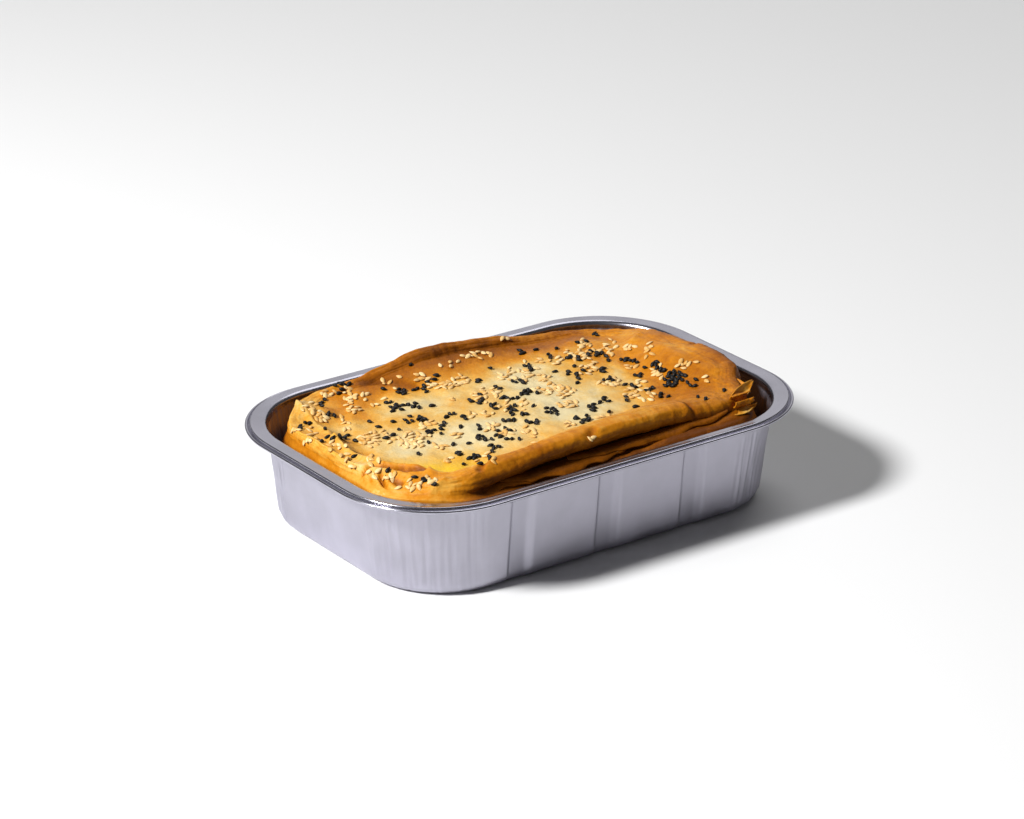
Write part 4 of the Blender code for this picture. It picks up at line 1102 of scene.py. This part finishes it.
# Curled flakes: foot x, y, z, heading, tilt in degrees, length, width, lift at the tip, wrap
# of the section in degrees, how far it is baked
FLAKES = (
    (0.0805, -0.0375, 0.0466, -38, 20, 0.0080, 0.0068, 0.0010, 50, 0.52),
    (0.0835, -0.0290, 0.0462, -30, 30, 0.0085, 0.0060, 0.0008, 60, 0.58),
    (0.0705, -0.0512, 0.0462, 20, 48, 0.0185, 0.0058, 0.0034, 80, 0.48),
    (0.0690, -0.0532, 0.0455, -4, 35, 0.0095, 0.0120, 0.0006, 290, 0.60),
    (0.0680, -0.0560, 0.0432, -8, 20, 0.0105, 0.0050, 0.0010, 60, 0.36),
    (0.0715, -0.0555, 0.0425, -12, 55, 0.0085, 0.0036, 0.0026, 70, 0.58),
    (-0.0984, -0.0318, 0.0424, -78, 25, 0.0085, 0.0034, 0.0003, 40, 0.36),
)
FLAKE_THICKNESS = 0.0005
FLAKE_STEPS = 16
# A pointed flake's width follows half a wave: where on it the foot is, and how much its length covers
FLAKE_BASE = 0.20
FLAKE_POINT = 0.76
FLAKE_EDGE = 0.0003
FLAKE_LIFT_POWER = 1.6
# From this wrap on a flake is a tube, which keeps its width to the end
TUBE_WRAP = 180


def flake_rows(x, y, z, heading, tilt, length, width, lift, wrap):
    """Grid of points over a pointed curl or open tube of filo."""
    angle = math.radians(heading)
    lean = math.radians(tilt)
    bend = math.radians(wrap)
    along = Vector((math.cos(angle), math.sin(angle), 0.0))
    level = Vector((-math.sin(angle), math.cos(angle), 0.0))
    across = level * math.cos(lean) + Vector((0, 0, math.sin(lean)))
    out = along.cross(across)
    sides = 8 + wrap // 18
    rows = []
    for k in range(FLAKE_STEPS + 1):
        t = k / FLAKE_STEPS
        full = 1.0 if wrap >= TUBE_WRAP else math.sin(math.pi * (FLAKE_BASE + FLAKE_POINT * t))
        ragged = 1.0 + 0.16 * noise.noise(Vector((7.0 * t, 900.0 * x, 900.0 * y))) * t
        radius = (width * full * ragged + FLAKE_EDGE) / bend
        middle = Vector((x, y, z)) + along * length * t
        middle += Vector((0, 0, lift * t**FLAKE_LIFT_POWER))
        row = []
        for j in range(sides + 1):
            turn = bend * (j / sides - 0.5)
            inner = out * math.cos(turn) - across * math.sin(turn)
            ripple = 0.0005 * noise.noise(Vector((5.0 * t, 3.0 * turn, 1000.0 * x)))
            ends = 0.0016 * t * noise.noise(Vector((2.5 * turn, 1000.0 * y, 5.0)))
            row.append(middle + radius * (out - inner) + inner * ripple + along * ends)
        rows.append(row)
    return rows


# Edges of lower sheets that show below the roll: way round from, to, inset, height, reach
SHEETS = (
    (0.08, 0.62, 0.0105, 0.0440, 0.0046),
    (0.35, 1.05, 0.0110, 0.0450, 0.0034),
    (0.60, 1.40, 0.0100, 0.0434, 0.0044),
    (7.80, 8.35, 0.0105, 0.0434, 0.0038),
)
SHEET_SINK = -0.75
SHEET_STEPS = 90


def sheet_paths():
    """Lines along the tray's wall where the lower sheets leave the pie, with their way out and reach."""
    verts = []
    edges = []
    outward = []
    reaches = []
    for start, end, inset, height, reach in SHEETS:
        for k in range(SHEET_STEPS + 1):
            t = k / SHEET_STEPS
            way = start + (end - start) * t
            x, y = wall_at(TRAY_HEIGHT, way, inset)
            ox, oy = wall_at(TRAY_HEIGHT, way, inset - 0.01)
            if k:
                edges.append((len(verts) - 1, len(verts)))
            verts.append((x, y, height))
            outward.append(((ox - x) / 0.01, (oy - y) / 0.01, SHEET_SINK))
            reaches.append(reach * math.sin(math.pi * (0.04 + 0.92 * t)) ** 0.6)
    mesh = bpy.data.meshes.new("lower_sheets")
    mesh.from_pydata(verts, edges, [])
    store(mesh, "outward", outward, "FLOAT_VECTOR")
    store(mesh, "reach", reaches)
    return link("lower_sheets", mesh)


def sheet_tree(mat):
    """Draws each line out into a thin sheet with an uneven edge."""
    tree, sizes, out = new_tree("sheet_edges", {
        "Sheet Thickness": 0.0005,
        "Unevenness": 0.9,
        "Wave Height": 0.0007,
        "Wave Density": 70.0,
        "Bake": 0.84,
        "Material": mat,
    })
    place = first(tree, "GeometryNodeInputPosition")
    ragged = noise_at(tree, place, sizes["Wave Density"], 2.0)
    share = uneven(tree, ragged, times(tree, sizes["Unevenness"], 2.0), 1.0)
    far = times(tree, stored(tree, "reach"), share)
    outward = stored(tree, "outward", "FLOAT_VECTOR")
    offset = first(tree, "ShaderNodeVectorMath", {0: outward, "Scale": far}, operation="SCALE")
    inner = put(tree, "GeometryNodeExtrudeMesh", {
        "Mesh": sizes["Geometry"], "Offset": offset, "Offset Scale": 0.6,
    }, mode="EDGES").outputs
    outer = first(tree, "GeometryNodeExtrudeMesh", {
        "Mesh": inner["Mesh"], "Selection": inner["Top"], "Offset": offset, "Offset Scale": 0.4,
    }, mode="EDGES")
    wave = noise_at(tree, place, times(tree, sizes["Wave Density"], 0.7), 1.0)
    rise = times(tree, sizes["Wave Height"], 2.0)
    lift = combined(tree, z=times(tree, maths(tree, "SUBTRACT", wave, 0.5), rise))
    waved = first(tree, "GeometryNodeSetPosition", {"Geometry": outer, "Offset": lift})
    upper = first(tree, "GeometryNodeExtrudeMesh", {
        "Mesh": waved, "Offset": combined(tree, z=sizes["Sheet Thickness"]),
        "Offset Scale": 1.0, "Individual": False,
    }, mode="FACES")
    lower = first(tree, "GeometryNodeFlipFaces", {"Mesh": waved})
    both = put(tree, "GeometryNodeJoinGeometry")
    tree.links.new(upper, both.inputs[0])
    tree.links.new(lower, both.inputs[0])
    merged = {"Geometry": both.outputs[0], "Distance": 0.00001}
    closed = first(tree, "GeometryNodeMergeByDistance", merged)
    baked = {"Geometry": closed, "Name": "bake", "Value": sizes["Bake"]}
    told = first(tree, "GeometryNodeStoreNamedAttribute", baked, data_type="FLOAT", domain="POINT")
    return finish_tree(tree, told, sizes["Material"], out)


foil = foil_material()
crust_paint = crust_material()
sesame_paint = seed_material("sesame", (0.82, 0.62, 0.31), (0.66, 0.36, 0.09), 0.38)
nigella_paint = seed_material("nigella", (0.003, 0.003, 0.003), (0.010, 0.008, 0.007), 0.52)

tray = tray_shell()
bake_nodes(tray, pressed_wall_tree(foil))
crust = build_crust(crust_paint)

crust_tree = BVHTree.FromPolygons(
    [v.co.copy() for v in crust.data.vertices], [tuple(p.vertices) for p in crust.data.polygons]
)
seed_draw = random.Random(SEED_DRAW)
seeds_taken = []
sesame = lay_seeds(
    "sesame_seeds", SESAME_DRIFTS, crust_tree, SESAME_SIZE, 8,
    ((0.05, 0.45), (0.18, 0.80), (0.38, 1.0), (0.60, 0.90), (0.80, 0.58), (0.94, 0.26)),
    sesame_paint, seed_draw, seeds_taken,
)
nigella = lay_seeds(
    "nigella_seeds", NIGELLA_DRIFTS, crust_tree, NIGELLA_SIZE, 5,
    ((0.06, 0.50), (0.25, 0.95), (0.50, 1.0), (0.76, 0.62), (0.93, 0.28)),
    nigella_paint, seed_draw, seeds_taken,
)
flake_meshes = [sheet_solid("flake", flake_rows(*f[:-1]), FLAKE_THICKNESS, f[-1]) for f in FLAKES]
flakes = join("filo_flakes", flake_meshes, crust_paint)
sheets = bake_nodes(sheet_paths(), sheet_tree(crust_paint))

for piece, slot, node in (
    (tray, "foil", "foil_tray"),
    (crust, "crust", "spanakopita"),
    (flakes, "crust", "spanakopita"),
    (sheets, "crust", "spanakopita"),
    (sesame, "sesame", "spanakopita"),
    (nigella, "nigella", "spanakopita"),
):
    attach(piece, "root")
    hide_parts(node)

# Floor, lights and camera
floor_mesh = bpy.data.meshes.new("floor")
floor_mesh.from_pydata([(-3, -3, 0), (3, -3, 0), (3, 3, 0), (-3, 3, 0)], [], [(0, 1, 2, 3)])
floor = link("floor", floor_mesh)
floor_paint, _, _ = principled("floor", Base_Color=(0.80, 0.80, 0.80, 1.0), Roughness=0.9)
floor_mesh.materials.append(floor_paint)


def area_light(name, direction, distance, size, power):
    """Soft round light from a direction, aimed at the pie."""
    lamp = bpy.data.lights.new(name, "AREA")
    lamp.shape = "DISK"
    lamp.size = size
    lamp.energy = power
    obj = bpy.data.objects.new(name, lamp)
    way = Vector(direction).normalized()
    obj.location = way * distance + Vector((0.0, 0.0, AIM_HEIGHT))
    obj.rotation_mode = "QUATERNION"
    obj.rotation_quaternion = way.to_track_quat("Z", "Y")
    bpy.context.scene.collection.objects.link(obj)


# The key stands to the left, turned towards the camera by so many degrees
KEY_ELEVATION = 40.0
KEY_TURN = 31.0
AIM_HEIGHT = 0.03
right_axis, up_axis, back_axis = camera_axes()
ground_right = Vector((right_axis.x, right_axis.y, 0.0)).normalized()
ground_back = Vector((back_axis.x, back_axis.y, 0.0)).normalized()
swing = math.radians(KEY_TURN)
rise = math.radians(KEY_ELEVATION)
level_way = ground_back * math.sin(swing) - ground_right * math.cos(swing)
key_from = level_way * math.cos(rise) + Vector((0, 0, math.sin(rise)))
# Lights: distance and size in metres, and watts
area_light("key", key_from, 1.8, 0.36, 54.5)
fill_from = -0.42 * ground_back + 0.20 * ground_right + Vector((0, 0, 0.86))
area_light("fill", fill_from, 3.0, 2.0, 18.0)
panel_from = -0.90 * ground_back + Vector((0, 0, 0.44))
area_light("panel", panel_from, 3.0, 3.0, 14.0)

world = bpy.data.worlds.new("studio")
world.use_nodes = True
world.node_tree.nodes["Background"].inputs[0].default_value = (1.0, 1.0, 1.0, 1.0)
world.node_tree.nodes["Background"].inputs[1].default_value = 0.07
bpy.context.scene.world = world
bpy.context.scene.view_settings.view_transform = "Standard"

camera = bpy.data.cameras.new("camera")
camera.sensor_width = SENSOR
camera.lens = CAMERA_FOCAL * SENSOR / PHOTO_WIDTH
camera_object = bpy.data.objects.new("camera", camera)
turn = Matrix((right_axis, up_axis, back_axis)).transposed().to_4x4()
turn.translation = Vector(CAMERA_PLACE)
camera_object.matrix_world = turn
bpy.context.scene.collection.objects.link(camera_object)
bpy.context.scene.camera = camera_object
